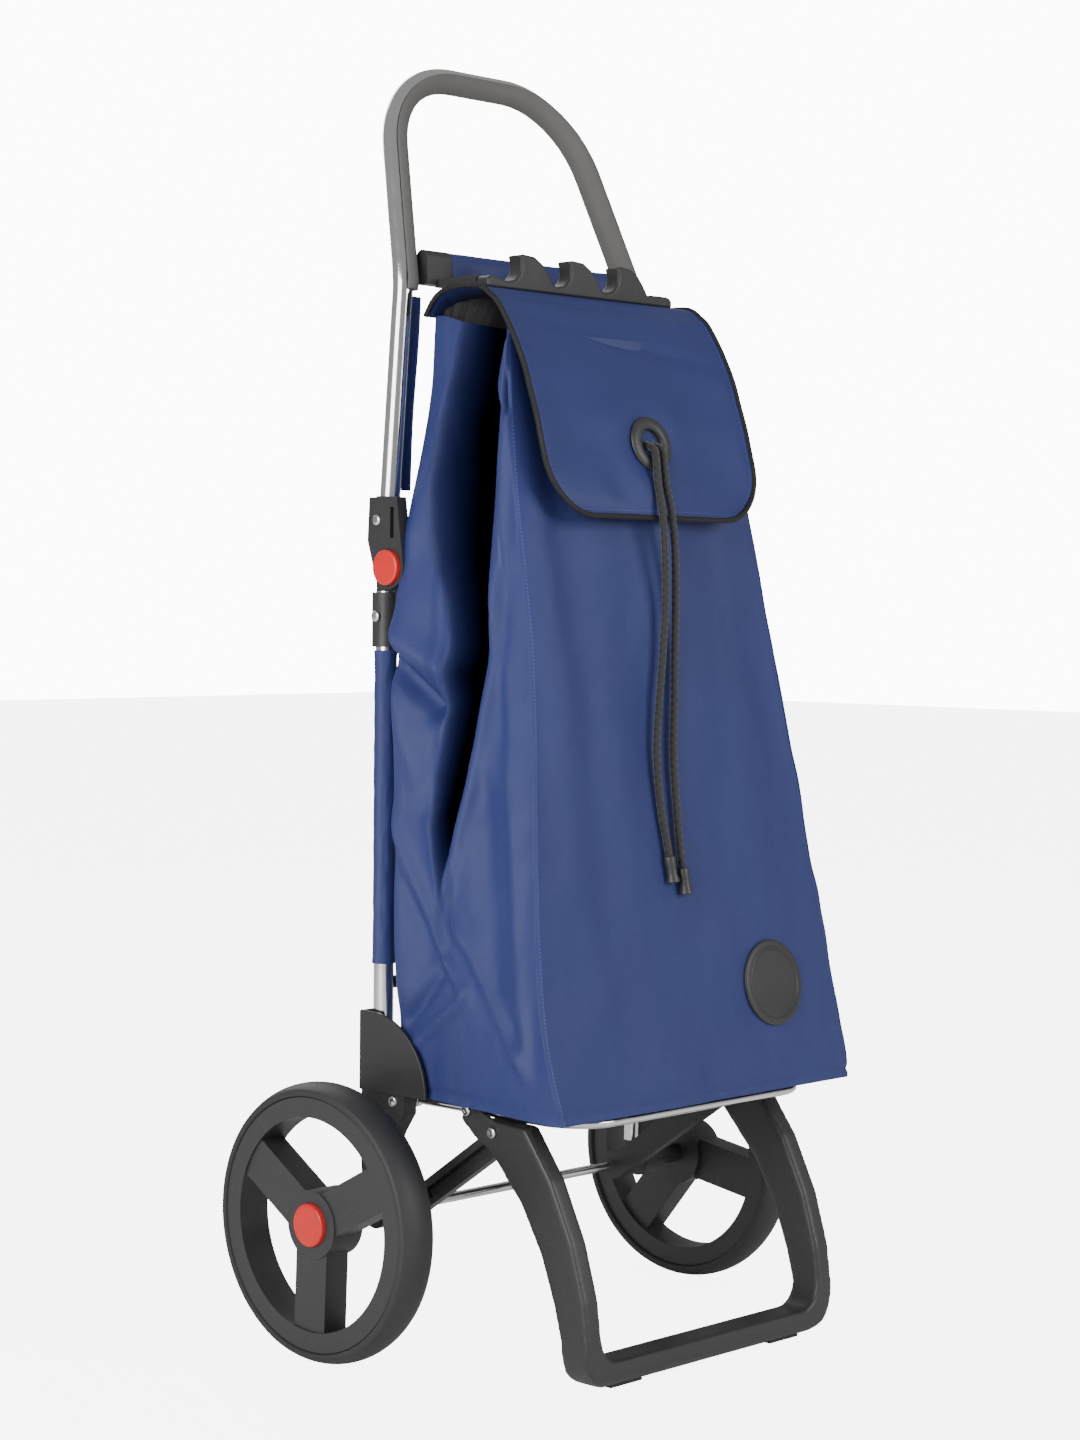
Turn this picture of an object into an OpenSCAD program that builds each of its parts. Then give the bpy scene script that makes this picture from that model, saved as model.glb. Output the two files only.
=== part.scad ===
// Folding shopping trolley on two wheels, with a soft bag, a hook rail and a hinged loop handle.
// The front of the trolley faces -Y, up is +Z, and the user walks behind it at +Y.

/* [Wheels] */
// Outer radius of the tyre
wheel_r = 110; // [90:1:125]
// Width of the tyre
wheel_w = 33; // [24:1:45]
// Distance from the middle to the outer face of a wheel
wheel_face_x = 232; // [215:1:250]
// Outer radius of the rim
rim_r = 99.5; // [85:0.5:105]
// Outer radius of the three windows between the spokes
window_r = 84; // [70:1:90]
// Width of a spoke
spoke_w = 35; // [20:1:45]
// Turn of the right wheel's first spoke, from the front upwards
right_wheel_turn = -9; // [-60:1:60]
// Turn of the left wheel's first spoke, from the front upwards
left_wheel_turn = 28; // [-60:1:60]
// Radius of the hub
hub_r = 27; // [20:1:35]
// Radius of the red release button in the hub
hub_button_r = 17; // [10:1:20]

/* [Axle and legs] */
// Diameter of the axle rod
axle_d = 8; // [6:0.5:12]
// Height of the axle above the floor
axle_h = 110; // [90:1:125]
// Outside diameter of the frame tubes
tube_d = 16; // [12:0.5:20]
// Distance from the middle to a frame tube
tube_x = 150; // [130:1:165]
// Tube position behind the axle
tube_back = 5; // [0:1:15]

/* [Folding handle] */
// Height of the folding hinge
hinge_h = 622.5; // [560:0.5:680]
// Radius of the hinge knuckle
knuckle_r = 17; // [14:0.5:22]
// Radius of the red release button in the hinge
hinge_button_r = 14; // [10:0.5:16]
// Height at which the handle starts to lean back
bend_h = 850; // [800:1:900]
// Angle the loop leans back
loop_lean = 18.3; // [5:0.1:30]
// Length of the loop along its lean
loop_len = 188; // [150:1:220]
// Corner radius of the loop
loop_corner_r = 85; // [50:1:100]

/* [Platform and foot] */
// Height of the platform rod
platform_h = 201.5; // [180:0.5:220]
// Distance in front of the axle where the platform rod ends
platform_front = 200; // [180:1:210]
// Diameter of the platform rod
rod_d = 8; // [6:0.5:10]
// Half width of the foot over its legs
foot_half_w = 148; // [140:1:150]
// Thickness of a foot leg, side to side
foot_leg_t = 18; // [12:1:22]
// Height of the foot bar
foot_bar_h = 20; // [14:1:26]

/* [Bag and flap] */
// Thickness of the bag walls
cloth_t = 2; // [1:0.1:3]
// Height of the bag floor
bag_floor_h = 209.3; // [205:0.1:215]
// Height of the bag mouth
mouth_h = 806; // [780:1:820]
// Half width of the flap
flap_half_w = 122.7; // [110:1:130]
// Height of the lower edge of the flap
flap_low_h = 665.3; // [640:1:690]
// Corner radius of the flap
flap_corner_r = 45; // [20:1:60]
// Height of the eyelet in the flap
eyelet_h = 722; // [700:1:740]
// Diameter of the drawcords
cord_d = 6; // [4:0.5:8]
// Diameter of the round badge
badge_d = 70; // [40:1:80]

/* [Hidden] */
$fn = 64;
axle_y = 54;
run = 0.05;
rail_front = -66;
rail_back = -51;
crossbar_at = [-3, 867];
pivot_y = -9;
pivot_d = [-21, platform_h];
pivot_a = [-88, platform_h];
pivot_b = [-116, 187.5];
rod_x = 139;
eye_r = 7;
front_slope = 11;
// Half widths and depths of the bag, from the floor up:
// height, back half width, side half width, front half width, front depth
bag_low = [
    [bag_floor_h, 140, 158, 172, -211],
    [262, 140, 158, 175.5, -198.5],
    [330, 140, 158, 171.5, -185],
    [420, 138, 156, 161, -171],
    [540, 134, 151, 146.5, -152.5],
    [562, 132, 149, 144.5, -148.5],
    [598.3, 131, 148, 142, -141.7]
];
bag_high = [
    [598.7, 131, 148, 142, -141.6],
    [680, 126, 139, 137, -123],
    [750, 117, 130, 131, -109],
    [mouth_h, 113, 124, 122, -97]
];
// Depth of the flap's outer face against height
flap_face = [
    [655, -154.5], [680, -150], [700, -145], [720, -139.5], [740, -134],
    [760, -127], [780, -120], [800, -110], [815, -101], [829, -91],
    [838, -80], [842, -68]
];
leg_low = [149.6, 4.6, 640];
leg_bend = [138.5, 0, bend_h];

// Moves a piece drawn about the axle line to its place in the row frame
module at_axle() {
    translate([0, axle_y, 0]) children();
}

// Draws the right-hand piece on the left
module left() {
    mirror([1, 0, 0]) children();
}

// Extrudes a side outline, drawn as depth and height, between two distances from the middle
module side_plate(x0, x1) {
    translate([x0, 0, 0]) rotate([90, 0, 90]) linear_extrude(x1 - x0) children();
}

// A round bar along X
module x_rod(x0, x1, y, z, r) {
    translate([x0, y, z]) rotate([0, 90, 0]) cylinder(r = r, h = x1 - x0);
}

// Places a piece so that its Z axis runs from p to q
module along(p, q) {
    v = q - p;
    translate(p) rotate([0, acos(v[2] / norm(v)), atan2(v[1], v[0])]) children();
}

function unit(v) = v / norm(v);
function ring(r, n) = [for (i = [0 : n - 1]) r * [cos(360 * i / n), sin(360 * i / n)]];

// Sweeps a closed outline along a path
module sweep(path, prof, up) {
    n = len(path);
    m = len(prof);
    pts = [for (i = [0 : n - 1])
        let (t = unit(path[min(i + 1, n - 1)] - path[max(i - 1, 0)]),
            r = unit(cross(t, up)), u = cross(r, t))
        for (p = prof) path[i] + r * p[0] + u * p[1]];
    // Each end is closed by a strip of triangles between the two halves of the outline
    strip = [for (k = [0 : m / 2 - 2]) for (s = [0, 1])
        s == 0 ? [k, k + 1, m - 2 - k] : [k, m - 2 - k, m - 1 - k]];
    first = [for (f = strip) [f[2], f[1], f[0]]];
    last = [for (f = strip) [f[0] + (n - 1) * m, f[1] + (n - 1) * m, f[2] + (n - 1) * m]];
    sides = [for (i = [0 : n - 2]) for (j = [0 : m - 1]) for (k = [0, 1])
        let (a = i * m + j, b = i * m + (j + 1) % m, c = b + m, d = a + m)
        k == 0 ? [a, b, c] : [a, c, d]];
    polyhedron(pts, concat(first, sides, last));
}

// The plan outline of the bag at one height, drawn in by a distance
function bag_ring(b, t) = [
    [-b[1] + t, -12 - t, b[0]], [b[1] - t, -12 - t, b[0]], [b[2] - t, -42, b[0]],
    [b[3] - t, b[4] + t, b[0]], [-b[3] + t, b[4] + t, b[0]], [-b[2] + t, -42, b[0]]];

// A solid through a stack of bag outlines
module bag_solid(rows, t, low, high) {
    n = len(rows);
    zs = [for (i = [0 : n - 1]) i == 0 ? rows[i][0] + low : i == n - 1 ? rows[i][0] + high : rows[i][0]];
    pts = [for (i = [0 : n - 1]) for (p = bag_ring(rows[i], t)) [p[0], p[1], zs[i]]];
    sides = [for (i = [0 : n - 2]) for (j = [0 : 5]) for (k = [0, 1])
        let (a = i * 6 + j, b = i * 6 + (j + 1) % 6, c = b + 6, d = a + 6)
        k == 0 ? [a, b, c] : [a, c, d]];
    polyhedron(pts, concat([[5, 4, 3, 2, 1, 0]], sides,
        [[for (j = [0 : 5]) (n - 1) * 6 + j]]));
}

// Centre line of the loop handle on the right: position across and along its lean
corner_a = atan2(0.187, 0.982);
corner_c = [32.4, loop_len - loop_corner_r];
function lean(p) = [p[0], p[1] * sin(loop_lean), bend_h + p[1] * cos(loop_lean)];
loop_right = concat(
    [leg_low, leg_low + 0.5 * (leg_bend - leg_low), leg_bend - 0.06 * (leg_bend - leg_low)],
    [leg_bend, lean([136.2, 12]), lean([127.5, 58])],
    [for (i = [0 : 10]) let (a = corner_a + (90 - corner_a) * i / 10)
        lean(corner_c + loop_corner_r * [cos(a), sin(a)])]);
loop_all = concat(loop_right, [for (i = [len(loop_right) - 1 : -1 : 0])
    [-loop_right[i][0], loop_right[i][1], loop_right[i][2]]]);
grip_right = concat([leg_bend - 7 * unit(leg_bend - leg_low)], [for (i = [3 : len(loop_right) - 1]) loop_right[i]]);
grip_all = concat(grip_right, [for (i = [len(grip_right) - 1 : -1 : 0])
    [-grip_right[i][0], grip_right[i][1], grip_right[i][2]]]);
grip_outline = concat(
    [for (k = [0 : 13]) let (a = 65 + 15 * k) [-1.6, 0] + 11.2 * [cos(a), sin(a)]],
    [for (k = [13 : -1 : 0]) let (a = 70 + 15 * k) (tube_d / 2 + 0.8) * [cos(a), sin(a)]]);

// Frame

module axle() color("Silver") at_axle()
    x_rod(-222, 222, 0, axle_h, axle_d / 2);

module axle_spacer_right() color("DimGray") at_axle() difference() {
    x_rod(163.3, 199.6, 0, axle_h, 8);
    x_rod(160, 201, 0, axle_h, axle_d / 2 + run);
}

module axle_spacer_left() left() axle_spacer_right();

module lower_tube_right() color("Silver") at_axle()
    translate([tube_x, tube_back, 128]) cylinder(d = tube_d, h = 476);

module lower_tube_left() left() lower_tube_right();

module leg_bracket_right() color("DimGray") at_axle() difference() {
    side_plate(149, 163) union() {
        polygon([[-33, 206.9], [16, 206.9], [16, 150], [12.5, 109], [-12.5, 109], [-14, 158],
            [-22, 176], [-33, 192]]);
        translate([0, axle_h]) circle(13);
    }
    translate([tube_x, tube_back, 127]) cylinder(d = tube_d + 2 * run, h = 90);
    x_rod(140, 170, 0, axle_h, axle_d / 2 + run);
    x_rod(140, 170, pivot_d[0], pivot_d[1], 3 + run);
}

module leg_bracket_left() left() leg_bracket_right();

module platform_pin() {
    x_rod(133.5, 163.4, pivot_d[0], pivot_d[1], 3);
    x_rod(163.2, 165.6, pivot_d[0], pivot_d[1], 4.5);
}

module bracket_rivets() color("Silver") at_axle() {
    platform_pin();
    left() platform_pin();
}

module corner_guard_right() color("DimGray") at_axle() {
    side_plate(161.5, 164.5) intersection() {
        union() {
            translate([tube_back, 207]) circle(63.5);
            translate([tube_back, 207]) square([12.5, 63.5]);
        }
        translate([-60, 207]) square([77.5, 64]);
    }
    translate([142, 14.5, 207]) cube([22.5, 3, 63.5]);
}

module corner_guard_left() left() corner_guard_right();

module rear_crossbar() color("DimGray") at_axle() difference() {
    x_rod(-tube_x + 6, tube_x - 6, tube_back, 292, 5);
    for (s = [-1, 1]) translate([s * tube_x, tube_back, 280]) cylinder(r = tube_d / 2 + run, h = 24);
}

module tube_sleeve_right() color("MidnightBlue") at_axle()
    translate([tube_x, tube_back, 308]) difference() {
        cylinder(r = tube_d / 2 + 1.4, h = 249);
        translate([0, 0, -1]) cylinder(r = tube_d / 2 + run, h = 251);
    }

module tube_sleeve_left() left() tube_sleeve_right();

module hinge_lower_right() color("DimGray") at_axle() {
    difference() {
        union() {
            translate([tube_x, tube_back, 560]) cylinder(r = 11, h = 43);
            side_plate(139.3, 150.3) union() {
                polygon([[-19, 562], [16, 562], [16, 626], [4, 636], [pivot_y - knuckle_r, hinge_h],
                    [-23, 600]]);
                translate([pivot_y, hinge_h]) circle(knuckle_r);
            }
        }
        translate([tube_x, tube_back, 550]) cylinder(r = tube_d / 2 + run, h = 54.2);
        side_plate(138, 152) translate([-15, 572]) square([4, 24]);
        x_rod(159.45, 165, tube_back, 584, 4.5 + run);
    }
    x_rod(150.2, 154.4, pivot_y, hinge_h, 4);
}

module hinge_lower_left() left() hinge_lower_right();

module lower_hinge_rivet() x_rod(159.5, 162.6, tube_back, 584, 4.5);

module lower_hinge_rivets() color("Silver") at_axle() {
    lower_hinge_rivet();
    left() lower_hinge_rivet();
}

module bag_lower() color("MidnightBlue") at_axle() difference() {
    bag_solid(bag_low, 0, 0, 0);
    bag_solid(bag_low, cloth_t, cloth_t, 1);
}

module badge() color("Black") at_axle()
    translate([94, -194.1, 290]) rotate([90 - front_slope, 0, 0]) difference() {
        cylinder(d = badge_d, h = 3.4);
        translate([0, 0, 2.6]) difference() {
            cylinder(d = badge_d - 12, h = 2);
            translate([0, 0, -1]) cylinder(d = badge_d - 18, h = 4);
        }
    }

// Handle

module handle_tube() color("Silver") at_axle()
    sweep(loop_all, ring(tube_d / 2, 24), [0, -1, 0]);

module handle_grip() color("DarkSlateGray") at_axle()
    sweep(grip_all, grip_outline, [0, -1, 0]);

module hinge_upper_right() color("DimGray") at_axle() difference() {
    union() {
        along(leg_low, leg_bend) translate([0, 0, 2.5]) cylinder(r = 11, h = 36);
        side_plate(150.6, 161.4) union() {
            polygon([[pivot_y - knuckle_r, hinge_h], [-22, 650], [-18, 678], [13, 678], [15, 644],
                [8, hinge_h]]);
            translate([pivot_y, hinge_h]) circle(knuckle_r);
        }
    }
    along(leg_low, leg_bend) translate([0, 0, -0.2]) cylinder(r = tube_d / 2 + run, h = 60);
    x_rod(150, 154.9, pivot_y, hinge_h, 4 + run);
    x_rod(155.6, 170, pivot_y, hinge_h, hinge_button_r + 0.1);
    side_plate(149, 163) translate([-15, 646]) square([4, 24]);
    x_rod(158.95, 165, 4, 660, 4.5 + run);
}

module hinge_upper_left() left() hinge_upper_right();

module upper_hinge_rivet() x_rod(159, 163, 4, 660, 4.5);

module upper_hinge_rivets() color("Silver") at_axle() {
    upper_hinge_rivet();
    left() upper_hinge_rivet();
}

module crossbar() color("DimGray") at_axle()
    x_rod(-110, 110, crossbar_at[0], crossbar_at[1], 5);

module crossbar_band() color("MidnightBlue") at_axle() difference() {
    side_plate(-93.6, 93.6) union() {
        translate([crossbar_at[0] - 6, 854]) square([12, 15]);
        translate([crossbar_at[0], 869]) circle(6);
        translate([crossbar_at[0], 854]) circle(6);
    }
    x_rod(-100, 100, crossbar_at[0], crossbar_at[1], 5 + run);
}

module crossbar_clip_right() color("DimGray") at_axle() difference() {
    union() {
        translate([94, -10, 848]) cube([27.3, 14, 20]);
        x_rod(94, 121.3, crossbar_at[0], 868.5, 7);
        translate([98, rail_back, 846]) cube([11, 45, 7]);
    }
    x_rod(90, 110 + run, crossbar_at[0], crossbar_at[1], 5 + run);
}

module crossbar_clip_left() left() crossbar_clip_right();

function hook(t) = [[t - 13, 849], [t - 5, 851], [t, 856], [t + 2, 862], [t + 1, 867], [t - 1, 871],
    [t + 5, 872], [t + 17, 871], [t + 26, 866], [t + 33, 858], [t + 38, 851]];

module hook_rail() color("DimGray") at_axle()
    translate([0, rail_back, 0]) rotate([90, 0, 0]) linear_extrude(rail_back - rail_front)
        polygon(concat([[-109, 843], [-109, 850], [-105, 853]], hook(-73), hook(-16), hook(41),
            [[84, 852], [105, 852], [109, 849], [109, 843]]));

module side_tape_right() color("MidnightBlue") at_axle()
    along([133, 3, 684], [125, 0, 844]) translate([-4.5, -1, 0]) cube([9, 2, 154]);

module side_tape_left() left() side_tape_right();

module bag_upper() color("MidnightBlue") at_axle() difference() {
    bag_solid(bag_high, 0, 0, 0);
    bag_solid(bag_high, cloth_t, -1, 1);
}

module mouth_collar() color("Black") at_axle() difference() {
    intersection() {
        bag_solid(bag_high, cloth_t + 2.6, -5, 8);
        translate([-200, -200, 772]) cube([400, 400, 60]);
    }
    bag_solid(bag_high, cloth_t + 4.1, -8, 9);
}

module flap_root() color("MidnightBlue") at_axle()
    side_plate(-122, 122) polygon([[-11, 822], [-22, 836], [-38, 842.6], [rail_front, 842.6],
        [rail_front, 840.6], [-39, 840.6], [-24, 834.4], [-13.2, 821]]);

// Flap

module flap_front() {
    translate([-flap_half_w + flap_corner_r, flap_low_h])
        square([2 * (flap_half_w - flap_corner_r), 190]);
    translate([-flap_half_w, flap_low_h + flap_corner_r]) square([2 * flap_half_w, 190]);
    for (s = [-1, 1]) translate([s * (flap_half_w - flap_corner_r), flap_low_h + flap_corner_r])
        circle(flap_corner_r);
}

module flap_panel() color("MidnightBlue") at_axle() difference() {
    intersection() {
        side_plate(-130, 130) polygon(concat(
            [for (p = flap_face) [p[1], p[0]]],
            [for (i = [len(flap_face) - 1 : -1 : 0])
                [flap_face[i][1] + (i > 8 ? 0.4 : 2.2), flap_face[i][0] - (i > 6 ? 2 : 0.8)]]));
        rotate([90, 0, 0]) linear_extrude(200) flap_front();
    }
    translate([0, -139, eyelet_h]) rotate([74.5, 0, 0]) cylinder(r = 14.1, h = 40, center = true);
}

function flap_edge(p) = [p[0], lookup(p[1], flap_face) + 1, p[1]];
piping_at = 2.7;
edge_right = concat(
    [for (z = [841, 836, 829, 822, 815, 800, 780, 760, 740, 724]) [flap_half_w + piping_at, z]],
    [for (a = [0 : 15 : 90]) [flap_half_w - flap_corner_r, flap_low_h + flap_corner_r]
        + (flap_corner_r + piping_at) * [cos(a), -sin(a)]], [[27, flap_low_h - piping_at]]);
edge_all = concat([for (p = edge_right) flap_edge(p)],
    [for (i = [len(edge_right) - 1 : -1 : 0]) flap_edge([-edge_right[i][0], edge_right[i][1]])]);

module flap_piping() color("Black") at_axle()
    sweep(edge_all, ring(2.3, 8), [0, -1, 0]);

module flap_eyelet() color("Black") at_axle() translate([0, -139, eyelet_h]) rotate([74.5, 0, 0])
    difference() {
        union() {
            translate([0, 0, 1.2]) cylinder(r = 22.5, h = 2.2);
            translate([0, 0, 3.3]) cylinder(r1 = 20, r2 = 17, h = 1.6);
            translate([0, 0, -5]) cylinder(r = 14, h = 6.4);
            translate([0, 0, -6]) cylinder(r = 20, h = 1.6);
        }
        cylinder(r = 12, h = 40, center = true);
    }

cord_path_1 = [[-4, -138, 722], [-5, -149, 718], [-6, -152.5, 706], [-7, -155, 690], [-7, -160, 668],
    [-6, -162, 640], [-5, -162.5, 600], [-8, -163, 560], [-14, -165, 520], [-20, -168, 480],
    [-22, -174, 440], [-20, -179.5, 410], [-18.5, -182.3, 392]];
cord_path_2 = [[4, -138, 722], [4, -149, 718], [3, -152.5, 706], [3, -155, 690], [4, -160, 668],
    [6, -162, 640], [7, -162.5, 600], [6, -163, 560], [4, -165, 520], [0, -168, 480],
    [-4, -175, 440], [-5, -180.5, 404], [-4.3, -184, 382]];

module drawcord_1() color("Black") at_axle() sweep(cord_path_1, ring(cord_d / 2, 8), [0, -1, 0]);

module drawcord_2() color("Black") at_axle() sweep(cord_path_2, ring(cord_d / 2, 8), [0, -1, 0]);

// The bell-shaped cap on the end of a drawcord
module cord_end(path) {
    n = len(path);
    along(path[n - 1], path[n - 1] + unit(path[n - 1] - path[n - 2])) difference() {
        translate([0, 0, -6]) union() {
            cylinder(r = cord_d / 2 + 1.6, h = 20);
            translate([0, 0, 15]) cylinder(r1 = cord_d / 2 + 1.6, r2 = cord_d / 2 + 2.6, h = 5);
        }
        translate([0, 0, -7]) cylinder(r = cord_d / 2 + 0.4, h = 7.3);
    }
}

module cord_end_1() color("Black") at_axle() cord_end(cord_path_1);

module cord_end_2() color("Black") at_axle() cord_end(cord_path_2);

// Platform

platform_path = concat([[rod_x, -16, platform_h], [rod_x, -60, platform_h], [rod_x, -110, platform_h],
    [rod_x, 38 - platform_front, platform_h]],
    [for (a = [10 : 10 : 80]) [rod_x - 38, 38 - platform_front, platform_h]
        + 38 * [cos(a), -sin(a), 0]],
    [[rod_x - 38, -platform_front, platform_h]]);
platform_all = concat(platform_path, [for (i = [len(platform_path) - 1 : -1 : 0])
    [-platform_path[i][0], platform_path[i][1], platform_path[i][2]]]);

module platform_eyes() {
    x_rod(134.5, 143.5, pivot_d[0], pivot_d[1], eye_r);
    x_rod(134.5, 143.5, pivot_a[0], pivot_a[1], eye_r);
}

module foot_pin() {
    x_rod(134.5, 148.6, pivot_a[0], pivot_a[1], 3);
    x_rod(148.4, 150.6, pivot_a[0], pivot_a[1], 4.5);
}

module platform_frame() color("Silver") at_axle() {
    difference() {
        union() {
            sweep(platform_all, ring(rod_d / 2, 12), [0, 0, 1]);
            platform_eyes();
            left() platform_eyes();
        }
        for (s = [-1, 1]) x_rod(s * 139 - 6, s * 139 + 6, pivot_d[0], pivot_d[1], 3 + run);
    }
    foot_pin();
    left() foot_pin();
}

module base_board() color("Black") at_axle() difference() {
    translate([-143, -194, platform_h + 4.2]) cube([286, 164, 2.8]);
    for (s = [-1, 1]) translate([s * rod_x - 6, pivot_a[0] - 9, platform_h]) cube([12, 18, 12]);
}

// Foot

module foot_side() {
    polygon([[-100, 192], [-104, 183], [-121, 164], [-147, 136], [-168, 101], [-182, 65], [-189, 40],
        [-190, 24], [-187, 2.5], [-213, 2.5], [-218, 8], [-218.5, 40], [-214, 72], [-201, 114],
        [-179, 158], [-150, 196], [-104, 196.5]]);
}

module foot_face() {
    difference() {
        union() {
            translate([-foot_half_w, 30]) square([2 * foot_half_w, 180]);
            translate([-foot_half_w + 30, 2]) square([2 * foot_half_w - 60, 60]);
            for (s = [-1, 1]) translate([s * (foot_half_w - 30), 32]) circle(30);
        }
        translate([-foot_half_w + foot_leg_t, 42]) square([2 * (foot_half_w - foot_leg_t), 200]);
        translate([-foot_half_w + foot_leg_t + 19, 2 + foot_bar_h])
            square([2 * (foot_half_w - foot_leg_t) - 38, 40]);
        for (s = [-1, 1]) translate([s * (foot_half_w - foot_leg_t - 20), 22 + foot_bar_h])
            circle(20);
    }
}

module foot_cheek() difference() {
    side_plate(144, foot_half_w) union() {
        translate(pivot_a) circle(eye_r);
        polygon([[-98.5, platform_h + 4], [-80, 194], [-100, 178], [-125, 168], [-140, 190],
            [-110, 200]]);
    }
    x_rod(140, 150, pivot_a[0], pivot_a[1], 3 + run);
}

module foot_frame() color("DimGray") at_axle() difference() {
    union() {
        intersection() {
            side_plate(-150, 150) foot_side();
            rotate([90, 0, 0]) linear_extrude(260) foot_face();
        }
        foot_cheek();
        left() foot_cheek();
    }
    for (s = [-1, 1]) x_rod(s * 139 - 12, s * 139 + 12, pivot_b[0], pivot_b[1], 3);
}

module foot_rivet() {
    x_rod(129.8, 148.4, pivot_b[0], pivot_b[1], 3);
    x_rod(148, 150.4, pivot_b[0], pivot_b[1], 4.5);
}

module foot_rivets() color("Silver") at_axle() {
    foot_rivet();
    left() foot_rivet();
}

module foot_pads() color("Black") at_axle()
    for (s = [-1, 1]) translate([s * 95 - 18, -211, 0]) cube([36, 21, 2.5]);

// Struts

module strut_right() color("DimGray") at_axle() difference() {
    side_plate(118, 128) union() {
        translate([0, axle_h]) circle(12);
        translate(pivot_b) circle(10);
        polygon([[-3, 121.5], [-110, 195.5], [-122, 179], [-60, 136], [-6, 99.6]]);
    }
    x_rod(110, 135, 0, axle_h, axle_d / 2 + run);
    side_plate(122, 129) polygon([[-22, 127], [-96, 178], [-102, 170], [-60, 142], [-26, 119]]);
}

module strut_left() left() strut_right();

// Wheels

module wheel_rim(first_spoke) color("DimGray") at_axle() difference() {
    union() {
        difference() {
            x_rod(202, 231, 0, axle_h, rim_r);
            x_rod(200, 233, 0, axle_h, window_r);
        }
        difference() {
            union() {
                for (a = [0, 120, 240]) side_plate(206, 229) translate([0, axle_h])
                    rotate(180 - first_spoke - a)
                    translate([0, -spoke_w / 2]) square([window_r + 3, spoke_w]);
            }
            x_rod(204, 206.1, 0, axle_h, rim_r);
        }
        x_rod(200, 230.5, 0, axle_h, hub_r);
    }
    x_rod(198, 235, 0, axle_h, axle_d / 2 + run);
    x_rod(223, 240, 0, axle_h, hub_button_r + 0.1);
}

module wheel_rim_right() wheel_rim(right_wheel_turn);

module wheel_rim_left() left() wheel_rim(left_wheel_turn);

module wheel_tyre_right() color("Black") at_axle()
    translate([wheel_face_x - wheel_w / 2, 0, axle_h]) rotate([0, 90, 0]) rotate_extrude() intersection() {
        translate([rim_r + run, -wheel_w / 2]) square([wheel_r - rim_r - run, wheel_w]);
        translate([wheel_r - 36, 0]) circle(36);
    }

module wheel_tyre_left() left() wheel_tyre_right();

// Push buttons

module hub_button_right() color("Red") at_axle()
    x_rod(226.4, 234.5, 0, axle_h, hub_button_r);

module hub_button_left() left() hub_button_right();

module hinge_button_right() color("Red") at_axle()
    x_rod(160, 166, pivot_y, hinge_h, hinge_button_r);

module hinge_button_left() left() hinge_button_right();

axle();
axle_spacer_left();
axle_spacer_right();
lower_tube_left();
lower_tube_right();
leg_bracket_left();
leg_bracket_right();
bracket_rivets();
corner_guard_left();
corner_guard_right();
rear_crossbar();
tube_sleeve_left();
tube_sleeve_right();
hinge_lower_left();
hinge_lower_right();
lower_hinge_rivets();
bag_lower();
badge();
handle_tube();
handle_grip();
hinge_upper_left();
hinge_upper_right();
upper_hinge_rivets();
crossbar();
crossbar_band();
crossbar_clip_left();
crossbar_clip_right();
hook_rail();
side_tape_left();
side_tape_right();
bag_upper();
mouth_collar();
flap_root();
flap_panel();
flap_piping();
flap_eyelet();
drawcord_1();
drawcord_2();
cord_end_1();
cord_end_2();
platform_frame();
base_board();
foot_frame();
foot_rivets();
foot_pads();
strut_left();
strut_right();
wheel_rim_left();
wheel_rim_right();
wheel_tyre_left();
wheel_tyre_right();
hub_button_left();
hub_button_right();
hinge_button_left();
hinge_button_right();
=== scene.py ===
"""Folding shopping trolley: a soft bag with a flap and drawcords on a tube frame with two spoked wheels.

Everything is in metres in the frame of the CAD model: up is +Z, the front faces -Y and X is to the right.
The helpers take millimetres measured from the axle line, and at() moves them to that frame.
"""

import math

import bmesh
import bpy
import numpy as np
from bpy.props import FloatProperty, FloatVectorProperty, PointerProperty
from mathutils import Matrix, Vector, noise


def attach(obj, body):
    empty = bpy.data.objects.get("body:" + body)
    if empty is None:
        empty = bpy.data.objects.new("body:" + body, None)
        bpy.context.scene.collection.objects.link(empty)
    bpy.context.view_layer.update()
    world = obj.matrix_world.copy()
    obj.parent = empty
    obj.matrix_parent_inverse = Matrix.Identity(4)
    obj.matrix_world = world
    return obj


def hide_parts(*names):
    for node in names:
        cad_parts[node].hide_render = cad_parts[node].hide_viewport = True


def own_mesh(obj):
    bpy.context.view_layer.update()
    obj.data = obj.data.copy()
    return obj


bl_info = {
    "name": "Folding shopping trolley",
    "version": (1, 0, 0),
    "blender": (4, 5, 0),
    "location": "View3D > Sidebar > Trolley",
    "description": "Builds a folding shopping trolley piece by piece",
    "category": "Object",
}

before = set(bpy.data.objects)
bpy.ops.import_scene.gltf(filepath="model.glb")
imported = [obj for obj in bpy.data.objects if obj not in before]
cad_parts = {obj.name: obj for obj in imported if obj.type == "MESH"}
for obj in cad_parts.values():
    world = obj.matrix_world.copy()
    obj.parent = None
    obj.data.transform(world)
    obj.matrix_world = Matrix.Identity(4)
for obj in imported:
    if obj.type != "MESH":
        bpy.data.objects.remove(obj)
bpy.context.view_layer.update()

MM = 0.001
AXLE_Y = 54.0
AXLE_Z = 110.0
SIDES = (("left", -1), ("right", 1))

# ---------------------------------------------------------------- shapes


def at(x, y, z):
    """A point in millimetres from the axle line, as a point in the row frame in metres."""
    return Vector((x * MM, (y + AXLE_Y) * MM, z * MM))


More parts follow.
